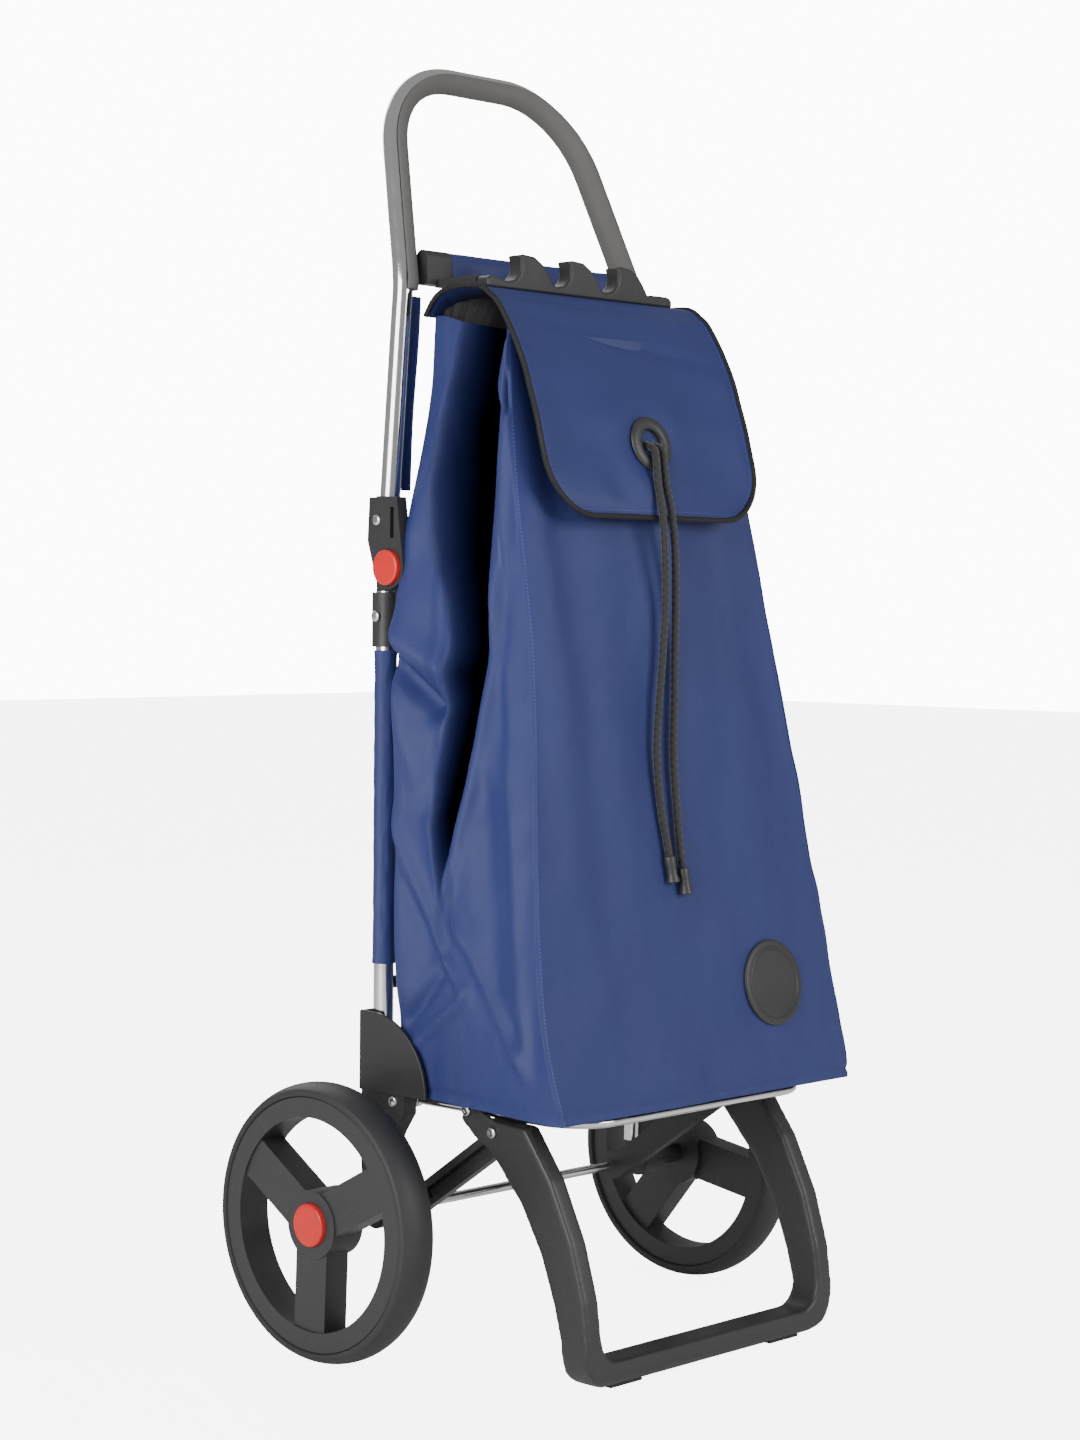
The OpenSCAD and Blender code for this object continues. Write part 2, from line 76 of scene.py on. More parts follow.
def piece(name, bm, material, body, nodes, slot, sharp=35.0):
    """Makes a mesh object of bm, gives it its finish and lets it ride on its body."""
    mesh = bpy.data.meshes.new(name)
    bm.edges.index_update()
    open_edges = [e.index for e in bm.edges if e.is_boundary]
    bm.to_mesh(mesh)
    bm.free()
    mesh.materials.append(material)
    mesh.shade_smooth()
    mesh.set_sharp_from_angle(angle=math.radians(sharp))
    for index in open_edges:
        mesh.edges[index].use_edge_sharp = True
    obj = bpy.data.objects.new(name, mesh)
    bpy.context.scene.collection.objects.link(obj)
    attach(obj, body)
    if nodes:
        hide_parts(*nodes)
    return obj


def tidy(bm, merge=1e-5):
    """Merges doubles and turns the faces outwards."""
    bmesh.ops.remove_doubles(bm, verts=bm.verts[:], dist=merge)
    bmesh.ops.recalc_face_normals(bm, faces=bm.faces[:])


def soften(obj, width, segments=3, angle=32.0):
    """Rounds the hard edges of a moulded piece."""
    bevel = obj.modifiers.new("Rounded edges", "BEVEL")
    bevel.width = width * MM
    bevel.segments = segments
    bevel.limit_method = "ANGLE"
    bevel.angle_limit = math.radians(angle)
    bevel.harden_normals = True
    return obj


def copied(node):
    """The triangles of a CAD node, joined up."""
    bm = bmesh.new()
    bm.from_mesh(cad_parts[node].data)
    bmesh.ops.remove_doubles(bm, verts=bm.verts[:], dist=2e-5)
    return bm


def moulded(node, material, body, slot, width, segments=3, name=None):
    """Copies a CAD node, merges its triangles into flat faces and rounds its edges."""
    bm = copied(node)
    bmesh.ops.dissolve_limit(bm, angle_limit=math.radians(1.0), verts=bm.verts[:], edges=bm.edges[:])
    obj = piece(name or node + "_moulded", bm, material, body, [node], slot)
    return soften(obj, width, segments)


def melted(name, node, material, body, slot, cell, rounds):
    """Copies a CAD node and rounds all its edges generously, as a thick moulding has them."""
    obj = piece(name, copied(node), material, body, [node], slot, 180)
    skin = obj.modifiers.new("Even skin", "REMESH")
    skin.mode, skin.voxel_size, skin.use_smooth_shade = "VOXEL", cell * MM, True
    ease_off = obj.modifiers.new("Rounded edges", "SMOOTH")
    ease_off.factor, ease_off.iterations = 0.5, rounds
    return obj


def dress(material, *nodes):
    """Gives carried-over CAD nodes their finish."""
    for node in nodes:
        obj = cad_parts[node]
        if not obj.material_slots:
            obj.data.materials.append(material)
        for held in obj.material_slots:
            held.material = material


def turned(bm, profile, origin, axis, steps=72):
    """Spins a profile of (height, radius) pairs about an axis through origin."""
    turn = Vector((0, 0, 1)).rotation_difference(Vector(axis)).to_matrix().to_4x4()
    place = Matrix.Translation(origin) @ turn
    ring = [bm.verts.new((r * MM, 0, h * MM)) for h, r in profile]
    edges = [bm.edges.new(pair) for pair in zip(ring, ring[1:])]
    made = bmesh.ops.spin(bm, geom=ring + edges, cent=(0, 0, 0), axis=(0, 0, 1), dvec=(0, 0, 0),
                          angle=math.tau, steps=steps, use_merge=True, use_duplicate=False)
    fresh = {v for v in made["geom_last"] if isinstance(v, bmesh.types.BMVert)} | set(ring)
    todo = list(fresh)
    while todo:
        for edge in todo.pop().link_edges:
            for vert in edge.verts:
                if vert not in fresh:
                    fresh.add(vert)
                    todo.append(vert)
    bmesh.ops.transform(bm, matrix=place, verts=list(fresh))


def lathed(name, profile, origin, axis, steps, *finish):
    """A piece that is one turned shape; finish goes on to piece()."""
    bm = bmesh.new()
    turned(bm, profile, origin, axis, steps)
    tidy(bm)
    return piece(name, bm, *finish)


def spline(points, step):
    """A smooth line through points, at about even steps."""
    line = [Vector(p) for p in points]
    out = []
    for i in range(len(line) - 1):
        a, b, c = line[max(i - 1, 0)], line[i], line[i + 1]
        d = line[min(i + 2, len(line) - 1)]
        count = max(1, round((c - b).length / step))
        for k in range(count):
            t = k / count
            out.append(0.5 * (2 * b + (c - a) * t + (2 * a - 5 * b + 4 * c - d) * t * t
                              + (3 * b - a - 3 * c + d) * t ** 3))
    out.append(line[-1])
    return out


def length_of(line):
    """The length of a line of points."""
    return sum((b - a).length for a, b in zip(line, line[1:]))


def sheet_grid(bm, across, along, place, uv_at=None, seam_at=None, painted_shade_at=None):
    """A grid whose vertices go where place(u, v) says, with its cloth map, seam map and the painted shade of
    its folds.
    """
    bmesh.ops.create_grid(bm, x_segments=across, y_segments=along, size=1.0)
    cloth = bm.loops.layers.uv.new("cloth")
    seam = bm.loops.layers.uv.new("seam")
    # The fold layer holds painted shade: how near black the cloth is painted in its deep folds.
    fold = bm.verts.layers.float.new("fold")
    where = {v: ((v.co.x + 1) / 2, (v.co.y + 1) / 2) for v in bm.verts}
    for face in bm.faces:
        for loop in face.loops:
            u, v = where[loop.vert]
            loop[cloth].uv = uv_at(u, v) if uv_at else (u, v)
            loop[seam].uv = seam_at(u, v) if seam_at else (1.0, 0.0)
    for vert, (u, v) in where.items():
        vert.co = place(u, v)
        vert[fold] = painted_shade_at(u, v) if painted_shade_at else 0.0


def swept(line, radius, sides=16, outline=None):
    """A closed tube along a line of points in metres, with a cloth map round and along it."""
    count = len(line)
    total = length_of(line)
    tangents = [(line[min(i + 1, count - 1)] - line[max(i - 1, 0)]).normalized() for i in range(count)]
    side = tangents[0].orthogonal().normalized()
    frames = []
    for tangent in tangents:
        side = (side - tangent * side.dot(tangent)).normalized()
        frames.append((side.copy(), tangent.cross(side)))
    ring = outline or [(radius * math.cos(math.tau * k / sides), radius * math.sin(math.tau * k / sides))
                       for k in range(sides)]
    sides = len(ring)

    def place(u, v):
        i, k = round(v * (count - 1)), round(u * sides) % sides
        one, two = frames[i]
        return line[i] + one * ring[k][0] + two * ring[k][1]

    bm = bmesh.new()
    sheet_grid(bm, sides, count - 1, place, uv_at=lambda u, v: (u, v * total))
    bmesh.ops.remove_doubles(bm, verts=bm.verts[:], dist=1e-6)
    rims = [e for e in bm.edges if e.is_boundary]
    bmesh.ops.holes_fill(bm, edges=rims, sides=0)
    bmesh.ops.recalc_face_normals(bm, faces=bm.faces[:])
    return bm


def thicken(obj, amount, lined=False):
    """Gives a sheet its thickness, inwards from its face, with the dark lining inside if it is lined."""
    wall = obj.modifiers.new("Cloth thickness", "SOLIDIFY")
    wall.thickness = amount * MM
    wall.offset = -1
    if lined:
        obj.data.materials.append(MATERIALS["lining"])
        wall.material_offset = 1
    return obj


def smooth_table(rows, blur, low, high):
    """A function of height that follows rows of (height, value), rounded off over blur millimetres."""
    heights = np.arange(low - 60, high + 61, 1.0)
    values = np.interp(heights, [r[0] for r in rows], [r[1] for r in rows])
    reach = np.arange(-3 * blur, 3 * blur + 1)
    weights = np.exp(-0.5 * (reach / blur) ** 2)
    soft = np.convolve(np.pad(values, 3 * blur, mode="edge"), weights / weights.sum(), mode="valid")
    return lambda z: np.interp(z, heights, soft)


def ease(t):
    """A smooth step from 0 to 1."""
    t = np.clip(t, 0.0, 1.0)
    return t * t * (3 - 2 * t)


# ---------------------------------------------------------------- finishes


class Finish:
    """A Principled material with helpers for its node tree."""

    def __init__(self, name, colour, roughness, **values):
        self.material = bpy.data.materials.new(name)
        self.material.use_nodes = True
        self.tree = self.material.node_tree
        self.shader = self.tree.nodes["Principled BSDF"]
        self.colour = (*colour, 1.0)
        self.set(Base_Color=self.colour, Roughness=roughness, **values)
        self.coords = self.tree.nodes.new("ShaderNodeTexCoord")
        self.material.diffuse_color = self.colour

    def set(self, **values):
        for key, value in values.items():
            self.shader.inputs[key.replace("_", " ")].default_value = value

    def add(self, kind, inputs=None, **settings):
        node = self.tree.nodes.new(kind)
        for key, value in settings.items():
            setattr(node, key, value)
        for key, value in (inputs or {}).items():
            if isinstance(value, bpy.types.NodeSocket):
                self.tree.links.new(value, node.inputs[key])
            else:
                node.inputs[key].default_value = value
        return node

    def noise(self, scale, detail=3.0, rough=0.55, source=None, **more):
        node = self.add("ShaderNodeTexNoise", {"Scale": scale, "Detail": detail, "Roughness": rough,
                                               "Vector": source or self.coords.outputs["Object"], **more})
        return node.outputs["Fac"]

    def maths(self, operation, a, b=0.0, clamp=False):
        return self.add("ShaderNodeMath", {0: a, 1: b}, operation=operation, use_clamp=clamp).outputs[0]

    def spread(self, value, low, high, to_low, to_high):
        node = self.add("ShaderNodeMapRange", {"Value": value, "From Min": low, "From Max": high,
                                               "To Min": to_low, "To Max": to_high})
        return node.outputs["Result"]

    def tint(self, factor, first, second):
        node = self.add("ShaderNodeMix", data_type="RGBA")
        for socket, value in ((node.inputs[0], factor), (node.inputs[6], first), (node.inputs[7], second)):
            if isinstance(value, bpy.types.NodeSocket):
                self.tree.links.new(value, socket)
            else:
                socket.default_value = value
        return node.outputs[2]

    def bump(self, height, strength, distance, below=None):
        inputs = {"Height": height, "Strength": strength, "Distance": distance}
        if below is not None:
            inputs["Normal"] = below
        return self.add("ShaderNodeBump", inputs).outputs["Normal"]

    def link(self, socket, name):
        self.tree.links.new(socket, self.shader.inputs[name])


def shade(colour, factor):
    """A colour made lighter or darker."""
    return tuple(min(1.0, c * factor) for c in colour[:3]) + (1.0,)


def moulding(name, colour, roughness, grain=1400.0, depth=0.00006, lighter=1.35):
    """Moulded plastic or rubber: a fine grain, cloudy gloss and paler scuffs."""
    f = Finish(name, colour, roughness)
    cloudy = f.noise(14.0, 4.0)
    scuffs = f.spread(f.noise(95.0, 6.0, 0.7), 0.56, 0.74, 0.0, 1.0)
    f.link(f.tint(f.maths("MULTIPLY", scuffs, 0.35), f.tint(cloudy, shade(colour, 0.85), shade(colour, 1.15)),
                  shade(colour, lighter)), "Base Color")
    f.link(f.maths("ADD", f.spread(cloudy, 0.3, 0.7, roughness - 0.05, roughness + 0.06),
                   f.maths("MULTIPLY", scuffs, 0.06)), "Roughness")
    f.link(f.bump(f.noise(grain, 2.0), 0.5, depth), "Normal")
    return f.material


def bright_metal(name, colour, roughness):
    """Polished tube: faint drawn lines and small marks in the shine."""
    f = Finish(name, colour, roughness, Metallic=1.0)
    marks = f.noise(60.0, 6.0, 0.7)
    f.link(f.spread(marks, 0.35, 0.75, roughness * 0.7, roughness * 1.9), "Roughness")
    f.link(f.tint(f.noise(9.0), shade(colour, 0.93), shade(colour, 1.05)), "Base Color")
    f.link(f.bump(f.noise(240.0, 3.0), 0.06, 0.0002), "Normal")
    return f.material


def woven(name, colour, roughness, thread=0.0006, lift=0.00012, sheen=0.05, thread_colour=None):
    """Woven cloth on its own cloth map, in metres: twill, slubs, soft creases, stitches along seams, and
    painted shade in its deep folds.
    """
    f = Finish(name, colour, roughness, Sheen_Weight=sheen, Sheen_Roughness=0.45,
               Sheen_Tint=(*shade(colour, 3.0)[:3], 1.0), Specular_IOR_Level=0.4)
    cloth = f.add("ShaderNodeUVMap", uv_map="cloth").outputs["UV"]
    twill = f.add("ShaderNodeTexWave", {"Vector": cloth, "Scale": 0.628 / thread, "Distortion": 0.6,
                                        "Detail": 1.0}, wave_type="BANDS", bands_direction="DIAGONAL")
    weft = f.add("ShaderNodeTexWave", {"Vector": cloth, "Scale": 0.314 / (1.6 * thread), "Distortion": 0.3,
                                       "Detail": 0.0}, wave_type="BANDS", bands_direction="Y")
    weave = f.maths("ADD", twill.outputs["Fac"], f.maths("MULTIPLY", weft.outputs["Fac"], 0.4))
    cloudy = f.noise(11.0, 4.0)
    fine = f.spread(weave, 0.2, 1.2, 0.0, 1.0)
    body = f.tint(cloudy, shade(colour, 0.9), shade(colour, 1.1))
    body = f.tint(f.maths("MULTIPLY", fine, 0.22), body, shade(colour, 1.7))
    # Painted shade: the fold attribute turns the cloth near black and takes away its specular and sheen in
    # the deep side folds and the tuck, where shade falls.
    painted_fold_shade = f.add("ShaderNodeAttribute", attribute_name="fold").outputs["Fac"]
    body = f.tint(f.spread(painted_fold_shade, 0.0, 0.7, 0.0, 1.0), body, (0.0, 0.0, 0.0005, 1.0))
    f.link(f.spread(painted_fold_shade, 0.0, 0.5, 0.4, 0.0), "Specular IOR Level")
    f.link(f.spread(painted_fold_shade, 0.0, 0.5, sheen, 0.0), "Sheen Weight")
    marks = f.add("ShaderNodeSeparateXYZ", {"Vector": f.add("ShaderNodeUVMap", uv_map="seam").outputs["UV"]})
    line = f.maths("LESS_THAN", f.maths("ABSOLUTE", f.maths("SUBTRACT", marks.outputs["X"], 0.0032)), 0.0005)
    dash = f.maths("LESS_THAN", f.maths("FRACT", f.maths("MULTIPLY", marks.outputs["Y"], 330.0)), 0.62)
    stitch = f.maths("MULTIPLY", line, dash)
    f.link(f.tint(f.maths("MULTIPLY", stitch, 0.85), body, thread_colour or shade(colour, 2.6)), "Base Color")
    f.link(f.spread(cloudy, 0.3, 0.7, roughness - 0.05, roughness + 0.07), "Roughness")
    soft = f.bump(f.noise(38.0, 3.0, 0.5), 0.35, 0.0012)
    soft = f.bump(f.noise(150.0, 2.0, 0.5), 0.25, 0.0004, soft)
    soft = f.bump(weave, 0.6, lift, soft)
    f.link(f.bump(stitch, 0.8, 0.0004, soft), "Normal")
    return f.material


def braided(name, colour, roughness):
    """Round braided cord: crossing strands that follow the cord's own map."""
    f = Finish(name, colour, roughness, Sheen_Weight=0.3, Sheen_Roughness=0.5)
    cloth = f.add("ShaderNodeUVMap", uv_map="cloth").outputs["UV"]
    strands = []
    for turn in (1.0, -1.0):
        lay = f.add("ShaderNodeMapping", {"Vector": cloth, "Scale": (turn * 6.0, 330.0, 1.0)})
        wave = f.add("ShaderNodeTexWave", {"Vector": lay.outputs["Vector"], "Scale": 0.314},
                     wave_type="BANDS", bands_direction="DIAGONAL")
        strands.append(wave.outputs["Fac"])
    both = f.maths("MAXIMUM", *strands)
    f.link(f.tint(both, shade(colour, 0.4), shade(colour, 1.1)), "Base Color")
    f.link(f.bump(both, 0.8, 0.0004), "Normal")
    return f.material


MATERIALS = {}


def make_finishes(settings):
    """All the finishes of the trolley."""
    navy, red = tuple(settings.cloth_colour), tuple(settings.button_colour)
    plastic = tuple(settings.plastic_colour)
    MATERIALS.update(
        cloth=woven("Navy coated twill", navy, 0.46),
        lining=woven("Dark bag lining", (0.006, 0.007, 0.012), 0.7, sheen=0.05),
        binding=woven("Black woven binding", (0.012, 0.012, 0.013), 0.62, thread=0.0008, sheen=0.05),
        cord=braided("Black braided cord", (0.012, 0.012, 0.012), 0.7),
        metal=bright_metal("Polished aluminium tube", (0.83, 0.83, 0.84), 0.13),
        steel=bright_metal("Bright steel rivet", (0.75, 0.75, 0.76), 0.2),
        plastic=moulding("Black moulded plastic", plastic, 0.42),
        rim=moulding("Black wheel plastic", shade(plastic, 1.1)[:3], 0.46),
        tyre=moulding("Black tyre rubber", shade(plastic, 0.85)[:3], 0.55, grain=900.0),
        grip=moulding("Grey grip foam", tuple(settings.grip_colour), 0.72, grain=700.0, depth=0.0002),
        red=moulding("Red button plastic", red, 0.3, lighter=1.1),
        board=moulding("Black base board", (0.012, 0.012, 0.013), 0.6),
    )


# ---------------------------------------------------------------- stage and cords


CAMERA_AZIMUTH = math.radians(-46.17)
CAMERA_HEIGHT = math.radians(2.37)
CAMERA_ROLL = math.radians(0.52)
CAMERA_DISTANCE = 2.4238
CAMERA_TARGET = Vector((0.02229, 0.054, 0.49781))
SENSOR_MM = 36.0
LENS_MM = 72.45

CORD_1 = [(-4, -138, 722), (-5, -149, 718), (-6, -152.5, 706), (-7, -155, 690), (-7, -160, 668),
          (-6, -162, 640), (-5, -162.5, 600), (-8, -163, 560), (-14, -165, 520), (-20, -168, 480),
          (-22, -174, 440), (-20, -179.5, 410), (-18.5, -182.3, 392)]
CORD_2 = [(4, -138, 722), (4, -149, 718), (3, -152.5, 706), (3, -155, 690), (4, -160, 668),
          (6, -162, 640), (7, -162.5, 600), (6, -163, 560), (4, -165, 520), (0, -168, 480),
          (-4, -175, 440), (-5, -180.5, 404), (-4.3, -184, 382)]
CORD_MM = 6.0


def place_camera():
    """Puts the camera at the front left, a little above the middle of the trolley."""
    back = Vector((math.sin(CAMERA_AZIMUTH) * math.cos(CAMERA_HEIGHT),
                   -math.cos(CAMERA_AZIMUTH) * math.cos(CAMERA_HEIGHT), math.sin(CAMERA_HEIGHT)))
    across = (-back).cross(Vector((0, 0, 1))).normalized()
    up = across.cross(-back)
    right = across * math.cos(CAMERA_ROLL) + up * math.sin(CAMERA_ROLL)
    over = up * math.cos(CAMERA_ROLL) - across * math.sin(CAMERA_ROLL)
    data = bpy.data.cameras.new("Camera")
    data.lens, data.sensor_width, data.clip_end = LENS_MM, SENSOR_MM, 50.0
    camera = bpy.data.objects.new("Camera", data)
    bpy.context.scene.collection.objects.link(camera)
    turn = Matrix((right, over, back)).transposed().to_4x4()
    camera.matrix_world = Matrix.Translation(CAMERA_TARGET + back * CAMERA_DISTANCE) @ turn
    bpy.context.scene.camera = camera


STUDIO_LIGHT = 0.34
BACKDROP_WHITE = 12.0
FLOOR_GLOW = 6.0


def studio_world(tree):
    """Even studio light, with a whiter backdrop behind the trolley than the light it gives."""
    light = tree.nodes["Background"]
    light.inputs["Color"].default_value = (1, 1, 1, 1)
    light.inputs["Strength"].default_value = STUDIO_LIGHT
    drop = tree.nodes.new("ShaderNodeBackground")
    drop.inputs["Color"].default_value = (1, 1, 1, 1)
    drop.inputs["Strength"].default_value = BACKDROP_WHITE
    path, mix = tree.nodes.new("ShaderNodeLightPath"), tree.nodes.new("ShaderNodeMixShader")
    tree.links.new(path.outputs["Is Camera Ray"], mix.inputs["Fac"])
    tree.links.new(light.outputs["Background"], mix.inputs[1])
    tree.links.new(drop.outputs["Background"], mix.inputs[2])
    tree.links.new(mix.outputs["Shader"], tree.nodes["World Output"].inputs["Surface"])


def soft_light(name, where, size, watts, colour=(1, 1, 1)):
    """A large soft light that faces the trolley."""
    data = bpy.data.lights.new(name, "AREA")
    data.shape, data.size, data.energy, data.color = "SQUARE", size, watts, colour
    lamp = bpy.data.objects.new(name, data)
    lamp.location = where
    lamp.rotation_euler = (Vector((0, 0, 0.5)) - Vector(where)).to_track_quat("-Z", "Y").to_euler()
    bpy.context.scene.collection.objects.link(lamp)


def drawcord(name, node, points, end_node):
    """A braided drawcord with its bell-shaped end."""
    line = spline([at(*p) for p in points], 0.004)
    bm = swept(line, CORD_MM / 2 * MM, 20)
    cord = piece(name, bm, MATERIALS["cord"], "flap", [node], "black_cloth", 60)
    tip, along = line[-1], (line[-1] - line[-2]).normalized()
    bell = [(-6, 3.5), (-6.4, 4.0), (-6, 4.5), (-5, 4.8), (2, 4.6), (4, 4.2), (6, 4.6), (8, 4.3), (10, 4.8),
            (13, 5.4), (14, 5.5), (14.5, 5.0), (14.4, 0.0), (12, 0.0)]
    end = lathed(name + "_bell", bell, tip, along, 40, MATERIALS["plastic"], "flap", [end_node],
                 "black_plastic")
    for part in (cord, end):
        flatten_with_fold(part)
    list(line[0])
    length_of(line)
    [list(p) for p in line]


# ---------------------------------------------------------------- bag


FLOOR_Z, FOLD_Z, MOUTH_Z = 206.5, 622.5, 807.0
PIVOT_Y = -9.0
SIDE_COLS, FRONT_COLS, BACK_COLS = 92, 76, 34
RING_COLS = 2 * SIDE_COLS + FRONT_COLS + BACK_COLS

front_half = smooth_table([(206, 171), (230, 174.5), (262, 176), (300, 174), (350, 169.5), (400, 163.3),
                           (450, 157), (500, 150.8), (560, 144.6), (640, 140.8), (700, 137), (750, 131),
                           (810, 121)], 8, 200, 820)
front_depth = smooth_table([(206, -213), (230, -207), (262, -198.5), (300, -190.3), (350, -181.3),
                            (400, -173.9), (450, -166.4), (500, -158.9), (560, -148.9), (598, -141.6),
                            (640, -131.9), (700, -120), (750, -110), (810, -98)], 8, 200, 820)
belly = smooth_table([(206, 0), (260, 1.5), (300, 2.5), (400, 4), (480, 6), (560, 9), (640, 12), (700, 9),
                      (750, 5), (810, 3)], 12, 200, 820)
back_half = smooth_table([(206, 138), (540, 136), (562, 133), (640, 131), (680, 126), (708, 124),
                          (750, 117), (817, 112)], 8, 200, 820)
wing_half = smooth_table([(206, 157), (268, 158), (290, 163), (330, 167), (540, 168), (585, 168),
                          (625, 160), (660, 152), (708, 139), (744, 130), (771, 125), (817, 121)],
                         7, 200, 820)
side_half = smooth_table([(206, 157), (268, 158.5), (300, 162), (420, 163), (540, 160), (600, 158),
                          (660, 146), (708, 137), (750, 130), (810, 121)], 8, 200, 820)
pocket_front = smooth_table([(350, -72), (357, -73), (403, -84), (450, -95), (490, -104), (552, -113),
                             (598, -109), (700, -106), (745, -104), (763, -97), (795, -99), (810, -102)],
                            5, 200, 820)
pocket_back = smooth_table([(350, -71), (387, -65), (438, -60), (508, -72), (560, -74), (598, -66),
                            (629, -50), (659, -42), (696, -35), (735, -30), (763, -36), (810, -48)],
                           5, 200, 820)
pocket_depth = smooth_table([(345, 0), (357, 2), (387, 14), (438, 30), (508, 42), (560, 54), (629, 68),
                             (696, 78), (763, 76), (810, 60)], 6, 200, 820)
# Creases of the side cloth: depth and height of both ends, how far it stands out, and its width
CREASES = [
    (-4, 578, -88, 536, 9.0, 12.0), (-6, 562, -66, 510, -16.0, 8.5), (-10, 545, -52, 455, 5.0, 13.0),
    (-7, 448, -80, 320, 5.0, 6.5), (-80, 320, -106, 294, 4.0, 6.0), (-4, 425, -66, 318, -3.5, 9.0),
    (-89, 352, -175, 241, 6.0, 7.0), (-100, 330, -165, 262, -3.5, 11.0),
    (-106, 294, -38, 247, 4.5, 6.0), (-80, 313, -30, 262, -4.5, 6.0),
    (-126, 560, -150, 420, 3.5, 9.0), (-150, 420, -176, 252, 3.5, 8.0),
    (-112, 460, -140, 300, -5.0, 15.0), (-60, 430, -80, 370, 3.5, 9.0),
    (-118, 600, -133, 480, -2.5, 8.0), (-60, 760, -20, 640, 3.0, 14.0),
]


def crease_push(y, z, change):
    """How far the creases push the side cloth out at depth y and height z."""
    push = np.zeros_like(y)
    for y0, z0, y1, z1, height, width in CREASES:
        z0, z1 = z0 + change * 0.08 * (y0 + 100), z1 - change * 0.06 * (y1 + 100)
        dy, dz = y1 - y0, z1 - z0
        long = math.hypot(dy, dz)
        t = ((y - y0) * dy + (z - z0) * dz) / long ** 2
        away = ((y - y0) * dz - (z - z0) * dy) / long
        ends = ease((t + 0.12) / 0.24) * ease((1.12 - t) / 0.24)
        push += height * (1 - 0.25 * change) * np.exp(-(away / width) ** 2) * ends
    return push


def side_line(z, change):
    """Half width and depth of the side cloth at one height, from its back edge to the front seam, with the
    painted shade of each point.
    """
    seam_x, seam_y = float(front_half(z)), float(front_depth(z))
    t = np.linspace(0, 1, SIDE_COLS + 1)
    y = -11 + (seam_y + 11) * t
    x = np.interp(-y, [11, 17, 30, 60, -seam_y], [float(back_half(z)), float(wing_half(z)) - 2,
                                                    float(wing_half(z)), float(side_half(z)), seam_x])
    for _ in range(10):
        x[1:-1] = (x[:-2] + 2 * x[1:-1] + x[2:]) / 4
    front, back = float(pocket_front(z)) - 3 * change, float(pocket_back(z))
    depth = float(pocket_depth(z)) * (1 - 0.18 * change)
    wide = max(back - front, 1.0)
    inside = ease((y - front) / min(10.0, 0.6 * wide)) * ease((back - y) / (0.55 * wide))
    lip = 3.0 * np.exp(-((y - front + 5) / 6.0) ** 2) * min(1.0, depth / 20)
    x = x - depth * inside + lip
    edge = ease((-13 - y) / 14) * ease((y - seam_y) / 10)
    x = x + crease_push(y, np.full_like(y, z), change) * edge
    # A small tuck at the mouth, just behind the flap
    tuck = ease((z - 738) / 14) * np.exp(-((y + 111) / 5.0) ** 2) * (1 - 0.5 * change)
    x = x - 18 * tuck
    x[-1] += 0.8
    # The third value is painted shade, strongest in the deep side fold and the tuck, where shade falls.
    return x, y, np.clip(np.sqrt(inside) * min(1.0, depth / 28) + 0.8 * tuck, 0, 1)


def front_line(z):
    """Width and depth of the front cloth at one height, from the left seam to the right one."""
    half, depth = float(front_half(z)), float(front_depth(z))
    t = np.linspace(-1, 1, FRONT_COLS + 1)
    x = t * half
    y = depth - float(belly(z)) * (1 - t ** 2) ** 0.8
    high = ease((z - 230) / 330)
    folds = (4.2 * np.sin(x / 13.5 + 0.9 + 0.002 * z) * np.exp(-((x + 96) / 42) ** 2)
             + 2.8 * np.sin(x / 17.0 - 0.003 * z) * np.exp(-((x - 84) / 50) ** 2)
             + 1.9 * np.sin(x / 24.0 + 0.006 * z))
    drape = 2.6 * (1 + np.sin((x + 0.45 * z) / 27.0)) * np.exp(-((z - 500) / 120) ** 2)
    y = y + (folds * high + drape) * (1 - t ** 8)
    return x, y


def bag_rows(heights):
    """The rings of the bag at several heights: an array of millimetre points, each with the painted shade of
    its fold.
    """
    rows = []
    for z in heights:
        zc = min(z, MOUTH_Z + 8)
        lx, ly, left_painted_shade = side_line(zc, 0.0)
        fx, fy = front_line(zc)
        rx, ry, right_painted_shade = side_line(zc, 1.0)
        bx = np.linspace(rx[0], -lx[0], BACK_COLS + 1)
        by = -11 - 5.5 * np.sin(np.linspace(0, math.pi, BACK_COLS + 1)) ** 0.7
        x = np.concatenate([-lx[:-1], fx[:-1], rx[::-1][:-1], bx[:-1]])
        y = np.concatenate([ly[:-1], fy[:-1], ry[::-1][:-1], by[:-1]])
        hem = 1.6 * math.exp(-((z - FLOOR_Z - 7) / 2.2) ** 2)
        if hem > 0.05:
            dx, dy = np.roll(x, -1) - np.roll(x, 1), np.roll(y, -1) - np.roll(y, 1)
            long = np.hypot(dx, dy) + 1e-9
            x, y = x - dy / long * hem, y + dx / long * hem
        # The fourth column is painted shade, on the side cloth's deep folds only.
        fold = np.concatenate([left_painted_shade[:-1], 0 * fx[:-1], right_painted_shade[::-1][:-1], 0 * bx[:-1]])
        rows.append(np.stack([x, y, np.full_like(x, z), fold], 1))
    return np.array(rows)


def ruffle(points, amount):
    """Uneven sag and small dents of slack cloth."""
    out = points.copy()
    for i, row in enumerate(points):
        for j, (x, y, z, _) in enumerate(row):
            if y > -14:
                continue
            dent = noise.noise(Vector((x / 46, y / 46, z / 70))) * 2.4 + noise.noise(
                Vector((x / 17 + 9, y / 17, z / 30))) * 0.7
            out[i, j, 0] += amount * dent * (1 if x > 0 else -1) * min(1.0, abs(x) / 100)
            out[i, j, 1] -= amount * dent * 0.7
    return out


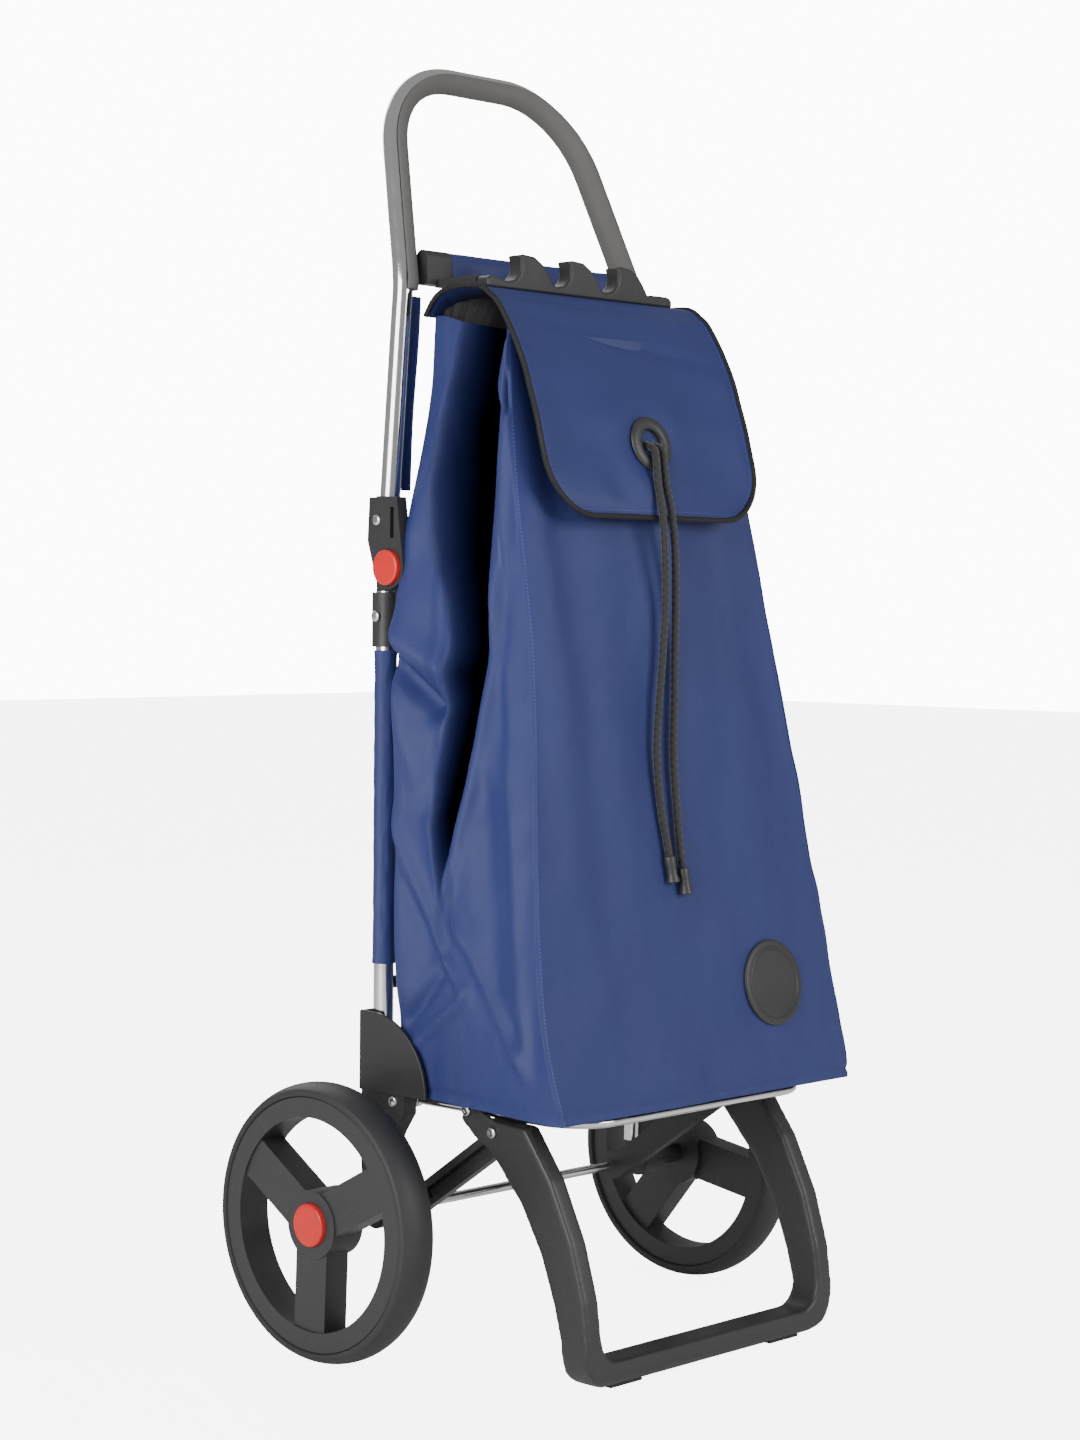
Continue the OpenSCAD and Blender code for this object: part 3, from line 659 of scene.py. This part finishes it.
def bag_part(low, high, step):
    """A ring-shaped length of the bag between two heights, with its cloth and seam maps."""
    count = round((high - low) / step)
    heights = np.linspace(low, high, count + 1)
    rows = ruffle(bag_rows(heights), 1.0)
    back_rise = 15 * ease((rows[..., 2] - 770) / 37) * np.exp(-((rows[..., 1] + 20) / 40) ** 2)
    rows[..., 2] += back_rise
    girth = np.hypot(*(np.diff(rows[count // 2, :, :2], axis=0).T))
    along = np.concatenate([[0], np.cumsum(girth), [girth.sum() + girth[-1]]]) * MM
    seams = [SIDE_COLS, SIDE_COLS + FRONT_COLS]

    def place(u, v):
        i, j = round(v * count), round(u * RING_COLS) % RING_COLS
        return at(*rows[i, j, :3])

    def painted_shade_at(u, v):
        return float(rows[round(v * count), round(u * RING_COLS) % RING_COLS, 3])

    def cloth_map(u, v):
        return along[min(round(u * RING_COLS), RING_COLS)], (low + v * (high - low)) * MM

    def seam_map(u, v):
        here = along[min(round(u * RING_COLS), RING_COLS)]
        far = (here - along[seams[0]], along[seams[1]] - here)
        return max(far, key=lambda d: -abs(d)), (low + v * (high - low)) * MM

    bm = bmesh.new()
    sheet_grid(bm, RING_COLS, count, place, cloth_map, seam_map, painted_shade_at)
    bmesh.ops.remove_doubles(bm, verts=bm.verts[:], dist=1e-6)
    return bm, (float(along[-1]), (high - low) * MM)


def flatten_with_fold(obj):
    """Gives a piece its own copy of its mesh."""
    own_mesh(obj)


# ---------------------------------------------------------------- flap


FLAP_HALF = 122.7
FLAP_LOW = 665.3
FLAP_CORNER = 45.0
FLAP_LINE = [(-11, 822), (-22, 836), (-38, 842.6), (-60, 843.4), (-74, 841.4), (-84, 834.5), (-91, 829),
             (-101, 815), (-110, 800), (-120, 780), (-127, 760), (-134, 740), (-139.5, 720), (-145, 700),
             (-150, 680), (-153.3, FLAP_LOW)]
HINGE_AT = -67.0


def flap_half(z, y):
    """Half width of the flap at a height on its front."""
    if y > -90 or z >= FLAP_LOW + FLAP_CORNER:
        return FLAP_HALF
    drop = FLAP_LOW + FLAP_CORNER - z
    return FLAP_HALF - FLAP_CORNER + math.sqrt(max(FLAP_CORNER ** 2 - min(drop, FLAP_CORNER) ** 2, 0.0))


def flap_lines():
    """The flap's centre line as even points, split at its top crease."""
    line = spline([Vector((0, y, z)) for y, z in FLAP_LINE], 2.2)
    root = [p for p in line if p.y >= HINGE_AT]
    front = [root[-1]] + [p for p in line if p.y < HINGE_AT]
    return root, front


def flap_lift(x, y, z):
    """Soft unevenness of the flap: a slanting crease on top and dimples round the eyelet."""
    slant = 2.6 * math.exp(-((z - 812 + 0.14 * (x + 40)) / 7.0) ** 2)
    slant *= 1 - ((x - 5) / 150) ** 2 if x < 120 else 0
    around = math.hypot(x, z - 722)
    pull = -2.6 * math.exp(-((around - 34) / 20) ** 2)
    dimples = 1.5 * math.sin(x / 9.0) * math.exp(-((z - 688) / 16) ** 2) * math.exp(-((x + 22) / 42) ** 2)
    drift = 2.2 * noise.noise(Vector((x / 60, z / 50, 3.0))) + 0.018 * (y + 100)
    return (slant + pull + dimples + drift) * ease((-y - 70) / 20) * ease((FLAP_HALF - abs(x)) / 14)


def flap_sheet(name, line, material, body, nodes):
    """One length of the flap as a sheet with a cloth map."""
    count, across = len(line) - 1, 84
    total = length_of(line) * MM

    def place(u, v):
        p = line[round(v * count)]
        x = (2 * u - 1) * flap_half(p.z, p.y)
        ahead = line[min(round(v * count) + 1, count)] - line[max(round(v * count) - 1, 0)]
        out = Vector((0, ahead.z, -ahead.y)).normalized() * -1
        lift = float(flap_lift(x, p.y, p.z))
        lift += 2.0 * (1 - (x / FLAP_HALF) ** 2) * float(ease((-p.y - 60) / 30))
        return at(x, p.y + out.y * lift, p.z + out.z * lift)

    def cloth_map(u, v):
        return (2 * u - 1) * FLAP_HALF * MM, v * total

    def seam_map(u, v):
        p = line[round(v * count)]
        side = (1 - abs(2 * u - 1)) * flap_half(p.z, p.y)
        if body == "flap":
            side = min(side, max(p.z - FLAP_LOW, 0.0))
        return side * MM, v * total

    bm = bmesh.new()
    sheet_grid(bm, across, count, place, cloth_map, seam_map)
    bmesh.ops.reverse_faces(bm, faces=bm.faces[:])
    obj = piece(name, bm, material, body, nodes, "bag_cloth", 180)
    thicken(obj, 1.4)
    flatten_with_fold(obj)
    return obj


# ---------------------------------------------------------------- wheels


def wheel(side, sign):
    """One wheel: its spoked rim, the tyre and the release button."""
    body = "wheel_" + side
    centre = at(0, 0, AXLE_Z)
    axis = (sign, 0, 0)
    moulded("wheel_rim_" + side, MATERIALS["rim"], body, "black_plastic", 1.2)
    middle, wide = 215.5, 16.5
    crown = [(middle + wide * s * 0.94, 110 - 4.3 * abs(s) ** 2.2) for s in np.linspace(-1, 1, 21)]
    tyre = [(middle - wide, 100.6), (middle - wide - 0.1, 103.5), (middle - wide + 0.3, 105)] + crown + [
        (middle + wide - 0.3, 105), (middle + wide + 0.1, 103.5), (middle + wide, 100.6),
        (middle + wide - 1.5, 99.7), (middle - wide + 1.5, 99.7), (middle - wide, 100.6)]
    lathed("wheel_tyre_" + side + "_moulded", tyre, centre, axis, 144, MATERIALS["tyre"], body,
           ["wheel_tyre_" + side], "tyre_rubber", 50)
    cap = [(227, 0), (227, 16.9), (233.2, 16.9), (233.9, 16.5), (234.3, 15.6), (234.45, 14), (234.0, 0)]
    button = "hub_button_" + side
    lathed(button + "_cap", cap, centre, axis, 72, MATERIALS["red"], button, [button], "red_plastic", 40)


# ---------------------------------------------------------------- metal parts


def rivets(name, node, body, rods, heads):
    """A set of rivets: pins (x0, x1, y, z, r) and domed heads (x at the base, y, z, r)."""
    bm = bmesh.new()
    for x0, x1, y, z, radius in rods:
        for _, sign in SIDES:
            turned(bm, [(x0, 0), (x0, radius), (x1, radius), (x1, 0)], at(0, y, z), (sign, 0, 0), 24)
    for x, y, z, radius in heads:
        for _, sign in SIDES:
            turned(bm, [(x, 0), (x, radius), (x + 0.7, radius), (x + 1.4, radius * 0.86),
                        (x + 1.9, radius * 0.55), (x + 2.0, 0)], at(0, y, z), (sign, 0, 0), 32)
    tidy(bm, 1e-6)
    piece(name, bm, MATERIALS["steel"], body, [node], "polished_tube", 50)


def handle_line():
    """The centre line of the loop handle, from the left foot over the top to the right one."""
    lean = math.radians(18.3)

    def leaned(x, s):
        return at(x, s * math.sin(lean), 850 + s * math.cos(lean))

    low, bend = at(149.6, 4.6, 640), at(138.5, 0, 850)
    start = math.atan2(0.187, 0.982)
    right = [low.lerp(bend, t) for t in np.linspace(0, 0.97, 12)]
    right += [leaned(136.2, 12), leaned(133.3, 27), leaned(130.4, 42), leaned(127.5, 58), leaned(122.5, 84)]
    right += [leaned(32.4 + 85 * math.cos(a), 103 + 85 * math.sin(a))
              for a in np.linspace(start, math.pi / 2, 12)]
    right.append(leaned(16, 188))
    left = [Vector((-p.x, p.y, p.z)) for p in right]
    return spline(left + right[::-1], 0.005)


# ---------------------------------------------------------------- settings and operators


class TrolleySettings(bpy.types.PropertyGroup):
    """The colours and sizes that a user would change."""

    cloth_colour: FloatVectorProperty(
        name="Bag cloth", description="Colour of the bag, flap, band and sleeves", subtype="COLOR",
        default=(0.025, 0.036, 0.145), min=0, max=1)
    plastic_colour: FloatVectorProperty(
        name="Plastic", description="Colour of the wheels, foot, hinges and rail", subtype="COLOR",
        default=(0.030, 0.030, 0.031), min=0, max=1)
    grip_colour: FloatVectorProperty(
        name="Grip", description="Colour of the grip cover on the handle", subtype="COLOR",
        default=(0.115, 0.111, 0.106), min=0, max=1)
    button_colour: FloatVectorProperty(
        name="Buttons", description="Colour of the release buttons", subtype="COLOR",
        default=(0.70, 0.022, 0.018), min=0, max=1)
    cloth_step: FloatProperty(
        name="Cloth step", description="Height of one row of the bag's cloth", unit="LENGTH",
        default=0.0034, min=0.002, max=0.02)
    edge_round: FloatProperty(
        name="Foot edge radius", description="Rounding of the foot's long edges", unit="LENGTH",
        default=0.006, min=0.001, max=0.008)


class TROLLEY_OT_stage(bpy.types.Operator):
    """Makes the finishes, the camera, the floor and the lights"""

    bl_idname = "trolley.stage"
    bl_label = "Stage"

    def execute(self, context):
        make_finishes(context.scene.trolley)
        place_camera()
        bm = bmesh.new()
        bmesh.ops.create_grid(bm, x_segments=2, y_segments=2, size=12.0)
        mesh = bpy.data.meshes.new("floor")
        bm.to_mesh(mesh)
        bm.free()
        floor = bpy.data.objects.new("floor", mesh)
        bpy.context.scene.collection.objects.link(floor)
        paint = Finish("Pale studio floor", (0.92, 0.92, 0.925), 0.6, Emission_Color=(1, 1, 1, 1))
        seen = paint.add("ShaderNodeLightPath").outputs["Is Camera Ray"]
        paint.link(paint.maths("MULTIPLY", seen, FLOOR_GLOW), "Emission Strength")
        paint.link(paint.tint(paint.noise(2.0), (0.91, 0.91, 0.915, 1), (0.93, 0.93, 0.935, 1)), "Base Color")
        mesh.materials.append(paint.material)
        world = bpy.data.worlds.new("Studio")
        context.scene.world = world
        world.use_nodes = True
        studio_world(world.node_tree)
        soft_light("key", (-2.7, -0.5, 1.3), 1.9, 80)
        soft_light("fill", (0.9, -3.0, 1.5), 1.6, 55)
        soft_light("back", (0.8, 2.6, 2.2), 1.6, 30)
        return {"FINISHED"}


class TROLLEY_OT_cords(bpy.types.Operator):
    """Makes the two drawcords that hang from the flap's eyelet"""

    bl_idname = "trolley.cords"
    bl_label = "Drawcords"

    def execute(self, context):
        drawcord("drawcord_left", "drawcord_1", CORD_1, "cord_end_1")
        drawcord("drawcord_right", "drawcord_2", CORD_2, "cord_end_2")
        return {"FINISHED"}


class TROLLEY_OT_frame(bpy.types.Operator):
    """Finishes the axle, the lower tubes, the brackets, the guards and the rear crossbar"""

    bl_idname = "trolley.frame"
    bl_label = "Frame"

    def execute(self, context):
        dress(MATERIALS["metal"], "axle", "lower_tube_left", "lower_tube_right")
        plastic = MATERIALS["plastic"]
        for side, _ in SIDES:
            for stem, width in (("leg_bracket_", 1.2), ("corner_guard_", 0.9), ("axle_spacer_", 0.8),
                                ("hinge_lower_", 1.0)):
                moulded(stem + side, plastic, "frame", "black_plastic", width)
        dress(plastic, "rear_crossbar")
        rivets("bracket_rivet_heads", "bracket_rivets", "frame", [(133.5, 163.4, -21, 201.5, 3)],
               [(163.2, -21, 201.5, 4.4)])
        rivets("lower_hinge_rivet_heads", "lower_hinge_rivets", "frame", [],
               [(161.0, 5, 584, 4.4)])
        return {"FINISHED"}


class TROLLEY_OT_handle(bpy.types.Operator):
    """Makes the loop handle with its grip cover, the upper hinge halves, the crossbar and the hook rail"""

    bl_idname = "trolley.handle"
    bl_label = "Handle"

    def execute(self, context):
        plastic = MATERIALS["plastic"]
        piece("handle_loop_tube", swept(handle_line(), 8 * MM, 40), MATERIALS["metal"], "handle",
              ["handle_tube"], "polished_tube", 60)
        moulded("handle_grip", MATERIALS["grip"], "handle", "grip_rubber", 0.6, name="handle_grip_cover")
        for side, _ in SIDES:
            moulded("hinge_upper_" + side, plastic, "handle", "black_plastic", 1.4)
            moulded("crossbar_clip_" + side, plastic, "handle", "black_plastic", 2.0)
        moulded("hook_rail", plastic, "handle", "black_plastic", 2.2, 4)
        dress(plastic, "crossbar")
        rivets("upper_hinge_rivet_heads", "upper_hinge_rivets", "handle", [], [(161.5, 4, 660, 4.4)])
        for side, sign in SIDES:
            cap = [(160.2, 0), (160.2, 13.9), (164.8, 13.9), (165.5, 13.3), (165.9, 12), (166.0, 10.5),
                   (165.7, 0)]
            button = "hinge_button_" + side
            lathed(button + "_cap", cap, at(0, PIVOT_Y, FOLD_Z), (sign, 0, 0), 64, MATERIALS["red"],
                   button, [button], "red_plastic", 40)
        return {"FINISHED"}


class TROLLEY_OT_wheels(bpy.types.Operator):
    """Makes the two wheels with their tyres and release buttons"""

    bl_idname = "trolley.wheels"
    bl_label = "Wheels"

    def execute(self, context):
        for side, sign in SIDES:
            wheel(side, sign)
        return {"FINISHED"}


class TROLLEY_OT_platform(bpy.types.Operator):
    """Makes the platform rod, the base board, the foot and the struts"""

    bl_idname = "trolley.platform"
    bl_label = "Platform and foot"

    def execute(self, context):
        plastic = MATERIALS["plastic"]
        right = [at(139, y, 201.5) for y in np.linspace(-16, -162, 10)]
        right += [at(101 + 38 * math.cos(a), -162 - 38 * math.sin(a), 201.5)
                  for a in np.linspace(0.15, math.pi / 2, 8)]
        left = [Vector((-p.x, p.y, p.z)) for p in reversed(right)]
        bm = swept(spline(right + left, 0.006), 4 * MM, 24)
        for y in (-21, -88):
            for _, sign in SIDES:
                turned(bm, [(134.8, 0), (134.8, 6.4), (135.4, 7), (142.8, 7), (143.4, 6.4), (143.4, 0)],
                       at(0, y, 201.5), (sign, 0, 0), 32)
        for _, sign in SIDES:
            turned(bm, [(143, 0), (143, 3), (148.4, 3), (148.4, 4.5), (149.3, 4.4), (150.2, 3.3), (150.4, 0)],
                   at(0, -88, 201.5), (sign, 0, 0), 32)
        tidy(bm, 1e-6)
        piece("platform_rod", bm, MATERIALS["metal"], "platform", ["platform_frame"], "polished_tube", 50)
        moulded("base_board", MATERIALS["board"], "platform", "board_plastic", 0.6,
                name="base_board_covered")
        rounds = round(context.scene.trolley.edge_round / MM * 3)
        melted("foot_frame_moulded", "foot_frame", plastic, "foot", "black_plastic", 1.8, rounds)
        rivets("foot_rivet_heads", "foot_rivets", "foot", [(129.8, 148.4, -116, 187.5, 3)],
               [(148.2, -116, 187.5, 4.4)])
        moulded("foot_pads", MATERIALS["tyre"], "foot", "tyre_rubber", 0.8)
        for side, _ in SIDES:
            moulded("strut_" + side, plastic, "struts", "black_plastic", 1.3)
        return {"FINISHED"}


class TROLLEY_OT_bag(bpy.types.Operator):
    """Makes the bag above and below the fold, its black collar and the plain badge"""

    bl_idname = "trolley.bag"
    bl_label = "Bag"

    def execute(self, context):
        step = context.scene.trolley.cloth_step / MM
        for name, low, high, body, node in (("bag_body", FLOOR_Z, FOLD_Z, "frame", "bag_lower"),
                                            ("bag_neck", FOLD_Z, MOUTH_Z, "handle", "bag_upper")):
            bm, flat = bag_part(low, high, step)
            obj = piece(name, bm, MATERIALS["cloth"], body, [node], "bag_cloth", 180)
            thicken(obj, 1.1, lined=True)
            flatten_with_fold(obj)
        collar()
        badge()
        return {"FINISHED"}


class TROLLEY_OT_flap(bpy.types.Operator):
    """Makes the flap with its root, piping and eyelet"""

    bl_idname = "trolley.flap"
    bl_label = "Flap"

    def execute(self, context):
        root, front = flap_lines()
        flap_sheet("flap_top", root, MATERIALS["cloth"], "handle", ["flap_root"])
        flap_sheet("flap_front", front, MATERIALS["cloth"], "flap", ["flap_panel"])
        edge_binding(root, front)
        eyelet()
        return {"FINISHED"}


class TROLLEY_OT_trim(bpy.types.Operator):
    """Makes the cloth sleeves on the tubes, the side tapes and the band on the crossbar"""

    bl_idname = "trolley.trim"
    bl_label = "Cloth trim"

    def execute(self, context):
        for side, sign in SIDES:
            tube_sleeve(side, sign)
            side_tape(side, sign)
        crossbar_band()
        return {"FINISHED"}


# ---------------------------------------------------------------- small cloth pieces


COLLAR_ROWS = 18
COLLAR_TALL = 64.0 * MM
TAPE_LONG = 154.0 * MM
BAND_WIDE = 187.2 * MM


def collar():
    """The gathered black collar inside the mouth."""
    heights = np.linspace(772, 836, COLLAR_ROWS + 1)
    rows = bag_rows(heights)
    waves = np.linspace(0, math.tau, RING_COLS, endpoint=False)
    for i, row in enumerate(rows):
        up = i / (len(heights) - 1)
        middle = np.array([0.0, -58.0])
        pull = 4.0 + 34.0 * up ** 1.7 + 2.4 * up * np.sin(waves * 31) + 1.8 * up * np.sin(waves * 47 + 1)
        pull *= 1 - 0.8 * np.exp(-((row[:, 1] + 8) / 40) ** 2)
        away = row[:, :2] - middle
        row[:, :2] -= away / (np.linalg.norm(away, axis=1)[:, None] + 1e-9) * pull[:, None]
        row[:, 2] += 2.0 * up * np.sin(waves * 9 + 0.6)
        under_flap = np.interp(-row[:, 1], [-p[0] for p in FLAP_LINE], [p[1] for p in FLAP_LINE])
        row[:, 2] = np.minimum(row[:, 2], under_flap - 7)

    def place(u, v):
        return at(*rows[round(v * COLLAR_ROWS), round(u * RING_COLS) % RING_COLS, :3])

    girth = float(np.hypot(*(np.diff(rows[0, :, :2], axis=0).T)).sum()) * MM
    bm = bmesh.new()
    sheet_grid(bm, RING_COLS, COLLAR_ROWS, place, lambda u, v: (u * girth, v * COLLAR_TALL),
               lambda u, v: (COLLAR_TALL * (1 - v), u * girth))
    bmesh.ops.remove_doubles(bm, verts=bm.verts[:], dist=1e-6)
    obj = piece("mouth_collar_gathered", bm, MATERIALS["binding"], "handle", ["mouth_collar"],
                "black_cloth", 180)
    thicken(obj, 1.0)
    flatten_with_fold(obj)


def badge():
    """A plain round disc with a turned groove, sewn on the front of the bag."""
    slope = math.radians(11)
    axis = (0, -math.cos(slope), math.sin(slope))
    disc = [(-3.0, 0), (-3.0, 33), (0.6, 34.6), (1.8, 34.9), (2.8, 34.2), (3.2, 33), (3.2, 29.5),
            (2.5, 29.0), (2.3, 28), (2.5, 27), (3.1, 26.4), (3.3, 20), (3.4, 0)]
    flatten_with_fold(lathed("badge_disc", disc, at(94, -194.1, 290), axis, 96, MATERIALS["plastic"],
                             "frame", ["badge"], "black_plastic", 40))


def edge_binding(root, front):
    """Black piping round the flap, and along both sides of its root."""
    def rim(line, sign):
        return [Vector((sign * (flap_half(p.z, p.y) + 1.6), p.y, p.z)) for p in line]

    straight = [p for p in front if p.z > FLAP_LOW + FLAP_CORNER or p.y > -90]
    corner = []
    depth = sorted((p.z, p.y) for p in front if p.y < -90)
    heights, depths = [d[0] for d in depth], [d[1] for d in depth]
    for a in np.linspace(0, math.pi / 2, 11):
        z = FLAP_LOW + FLAP_CORNER - (FLAP_CORNER + 1.6) * math.sin(a)
        corner.append(Vector((FLAP_HALF - FLAP_CORNER + (FLAP_CORNER + 1.6) * math.cos(a),
                              float(np.interp(z, heights, depths)), z)))
    low = [Vector((x, corner[-1].y, corner[-1].z)) for x in (55, 30, 0)]
    half = rim(straight[::3], 1) + corner + low
    other = [Vector((-p.x, p.y, p.z)) for p in half[:-1]]
    whole = [at(*p) for p in half + other[::-1]]
    flatten_with_fold(piece("flap_piping_black", swept(spline(whole, 0.004), 2.2 * MM, 14),
                            MATERIALS["binding"], "flap", ["flap_piping"], "black_cloth", 60))
    for side, sign in SIDES:
        line = spline([at(*p) for p in rim(root[::3] + [root[-1]], sign)], 0.004)
        flatten_with_fold(piece("flap_root_piping_" + side, swept(line, 2.2 * MM, 14), MATERIALS["binding"],
                                "handle", [], "black_cloth", 60))


def eyelet():
    """The round moulded eyelet that the drawcords pass through."""
    tilt = math.radians(74.5)
    axis = (0, -math.sin(tilt), math.cos(tilt))
    ring = [(-5.5, 12.3), (-6, 13), (-6, 19.4), (-5.2, 20), (-4.4, 19.6), (-4.4, 14.2), (0.8, 14.2),
            (1.0, 22), (1.6, 22.6), (3.0, 22.3), (4.0, 20.6), (4.8, 17.5), (4.8, 15), (4.2, 13),
            (2.8, 12.1), (-4.5, 12), (-5.5, 12.3)]
    flatten_with_fold(lathed("flap_eyelet_ring", ring, at(0, -139, 722), axis, 72, MATERIALS["plastic"],
                             "flap", ["flap_eyelet"], "black_plastic", 50))


def tube_sleeve(side, sign):
    """A cloth sleeve on a lower tube, a little slack, with a seam at its back."""
    count, sides = 100, 40
    low, high = 308.0, 557.0
    girth = math.tau * 9.2

    def place(u, v):
        z = low + v * (high - low)
        a = math.tau * (round(u * sides) % sides) / sides
        r = 8.9 + 0.5 * noise.noise(Vector((3 * math.cos(a), 3 * math.sin(a) + 7 * sign, z / 16)))
        r += 0.7 * math.exp(-((a - math.pi / 2) / 0.16) ** 2) + 0.5 * math.exp(-(min(v, 1 - v) / 0.02) ** 2)
        return at(sign * 150 + r * math.cos(a), 5 + r * math.sin(a), z)

    bm = bmesh.new()
    sheet_grid(bm, sides, count, place, lambda u, v: (u * girth * MM, v * (high - low) * MM),
               lambda u, v: ((u - 0.25) * girth * MM, v * (high - low) * MM))
    bmesh.ops.remove_doubles(bm, verts=bm.verts[:], dist=1e-6)
    obj = piece("tube_sleeve_" + side + "_cloth", bm, MATERIALS["cloth"], "frame", ["tube_sleeve_" + side],
                "bag_cloth", 180)
    thicken(obj, 0.7)


def side_tape(side, sign):
    """A flat webbing tape beside the handle leg."""
    count, wide = 60, 10.2
    foot, top = Vector((133, 3, 684)), Vector((125.3, 0.1, 838))

    def place(u, v):
        p = foot.lerp(top, round(v * count) / count)
        edge = 0.5 * math.exp(-((abs(2 * u - 1) - 0.86) / 0.1) ** 2)
        wave = 0.8 * math.sin(v * 7.0 + sign)
        return at(sign * (p.x + (u - 0.5) * wide * sign), p.y - 1.2 - edge + wave, p.z)

    bm = bmesh.new()
    sheet_grid(bm, 12, count, place, lambda u, v: (u * wide * MM, v * TAPE_LONG),
               lambda u, v: (min(u, 1 - u) * wide * MM + 0.0018, v * TAPE_LONG))
    obj = piece("side_tape_" + side + "_cloth", bm, MATERIALS["cloth"], "handle", ["side_tape_" + side],
                "bag_cloth", 180)
    thicken(obj, 1.2)


def crossbar_band():
    """The plain cloth band wrapped round the crossbar, with its sewn lower edge."""
    outline = [(6.1 * math.cos(a), 869 + 6.1 * math.sin(a)) for a in np.linspace(0, math.pi, 13)]
    outline += [(-6.1 + 0.6 * t, 869 - 16 * t) for t in np.linspace(0.1, 1, 8)]
    outline += [(5.5 * math.cos(a), 853 + 5.5 * math.sin(a)) for a in np.linspace(math.pi, math.tau, 11)[1:]]
    outline += [(5.5 + 0.6 * t, 853 + 16 * t) for t in np.linspace(0.1, 0.95, 8)]
    sides, across = len(outline), 90
    girth = 2 * 16 + math.tau * 5.8

    def place(u, v):
        x = (2 * v - 1) * BAND_WIDE / MM / 2
        y, z = outline[round(u * sides) % sides]
        slack = 0.5 * noise.noise(Vector((x / 22, z / 9, y / 9)))
        return at(x, -3 + y * (1 + slack * 0.1), z + 0.35 * noise.noise(Vector((x / 30, 0, 4))))

    bm = bmesh.new()
    sheet_grid(bm, sides, across, place, lambda u, v: (u * girth * MM, v * BAND_WIDE),
               lambda u, v: (min(v, 1 - v) * BAND_WIDE, u * girth * MM))
    bmesh.ops.remove_doubles(bm, verts=bm.verts[:], dist=1e-6)
    bmesh.ops.recalc_face_normals(bm, faces=bm.faces[:])
    obj = piece("crossbar_band_cloth", bm, MATERIALS["cloth"], "handle", ["crossbar_band"], "bag_cloth", 180)
    thicken(obj, 0.8)


class VIEW3D_PT_trolley(bpy.types.Panel):
    """Lists the trolley's settings and the buttons that build it"""

    bl_label = "Folding shopping trolley"
    bl_idname = "VIEW3D_PT_trolley"
    bl_space_type = "VIEW_3D"
    bl_region_type = "UI"
    bl_category = "Trolley"

    def draw(self, context):
        settings = context.scene.trolley
        for name in TrolleySettings.__annotations__:
            self.layout.prop(settings, name)
        for step in STEPS:
            self.layout.operator(step.bl_idname)


STEPS = (TROLLEY_OT_stage, TROLLEY_OT_cords, TROLLEY_OT_frame, TROLLEY_OT_handle, TROLLEY_OT_wheels,
         TROLLEY_OT_platform, TROLLEY_OT_bag, TROLLEY_OT_flap, TROLLEY_OT_trim)


def register():
    """Registers the settings, the operators and the panel."""
    for cls in (TrolleySettings, *STEPS, VIEW3D_PT_trolley):
        bpy.utils.register_class(cls)
    bpy.types.Scene.trolley = PointerProperty(type=TrolleySettings)


def unregister():
    """Removes them again."""
    del bpy.types.Scene.trolley
    for cls in (VIEW3D_PT_trolley, *reversed(STEPS), TrolleySettings):
        bpy.utils.unregister_class(cls)


def main():
    """Builds the whole trolley."""
    register()
    for step in STEPS:
        group, name = step.bl_idname.split(".")
        getattr(getattr(bpy.ops, group), name)()


if __name__ == "__main__":
    main()
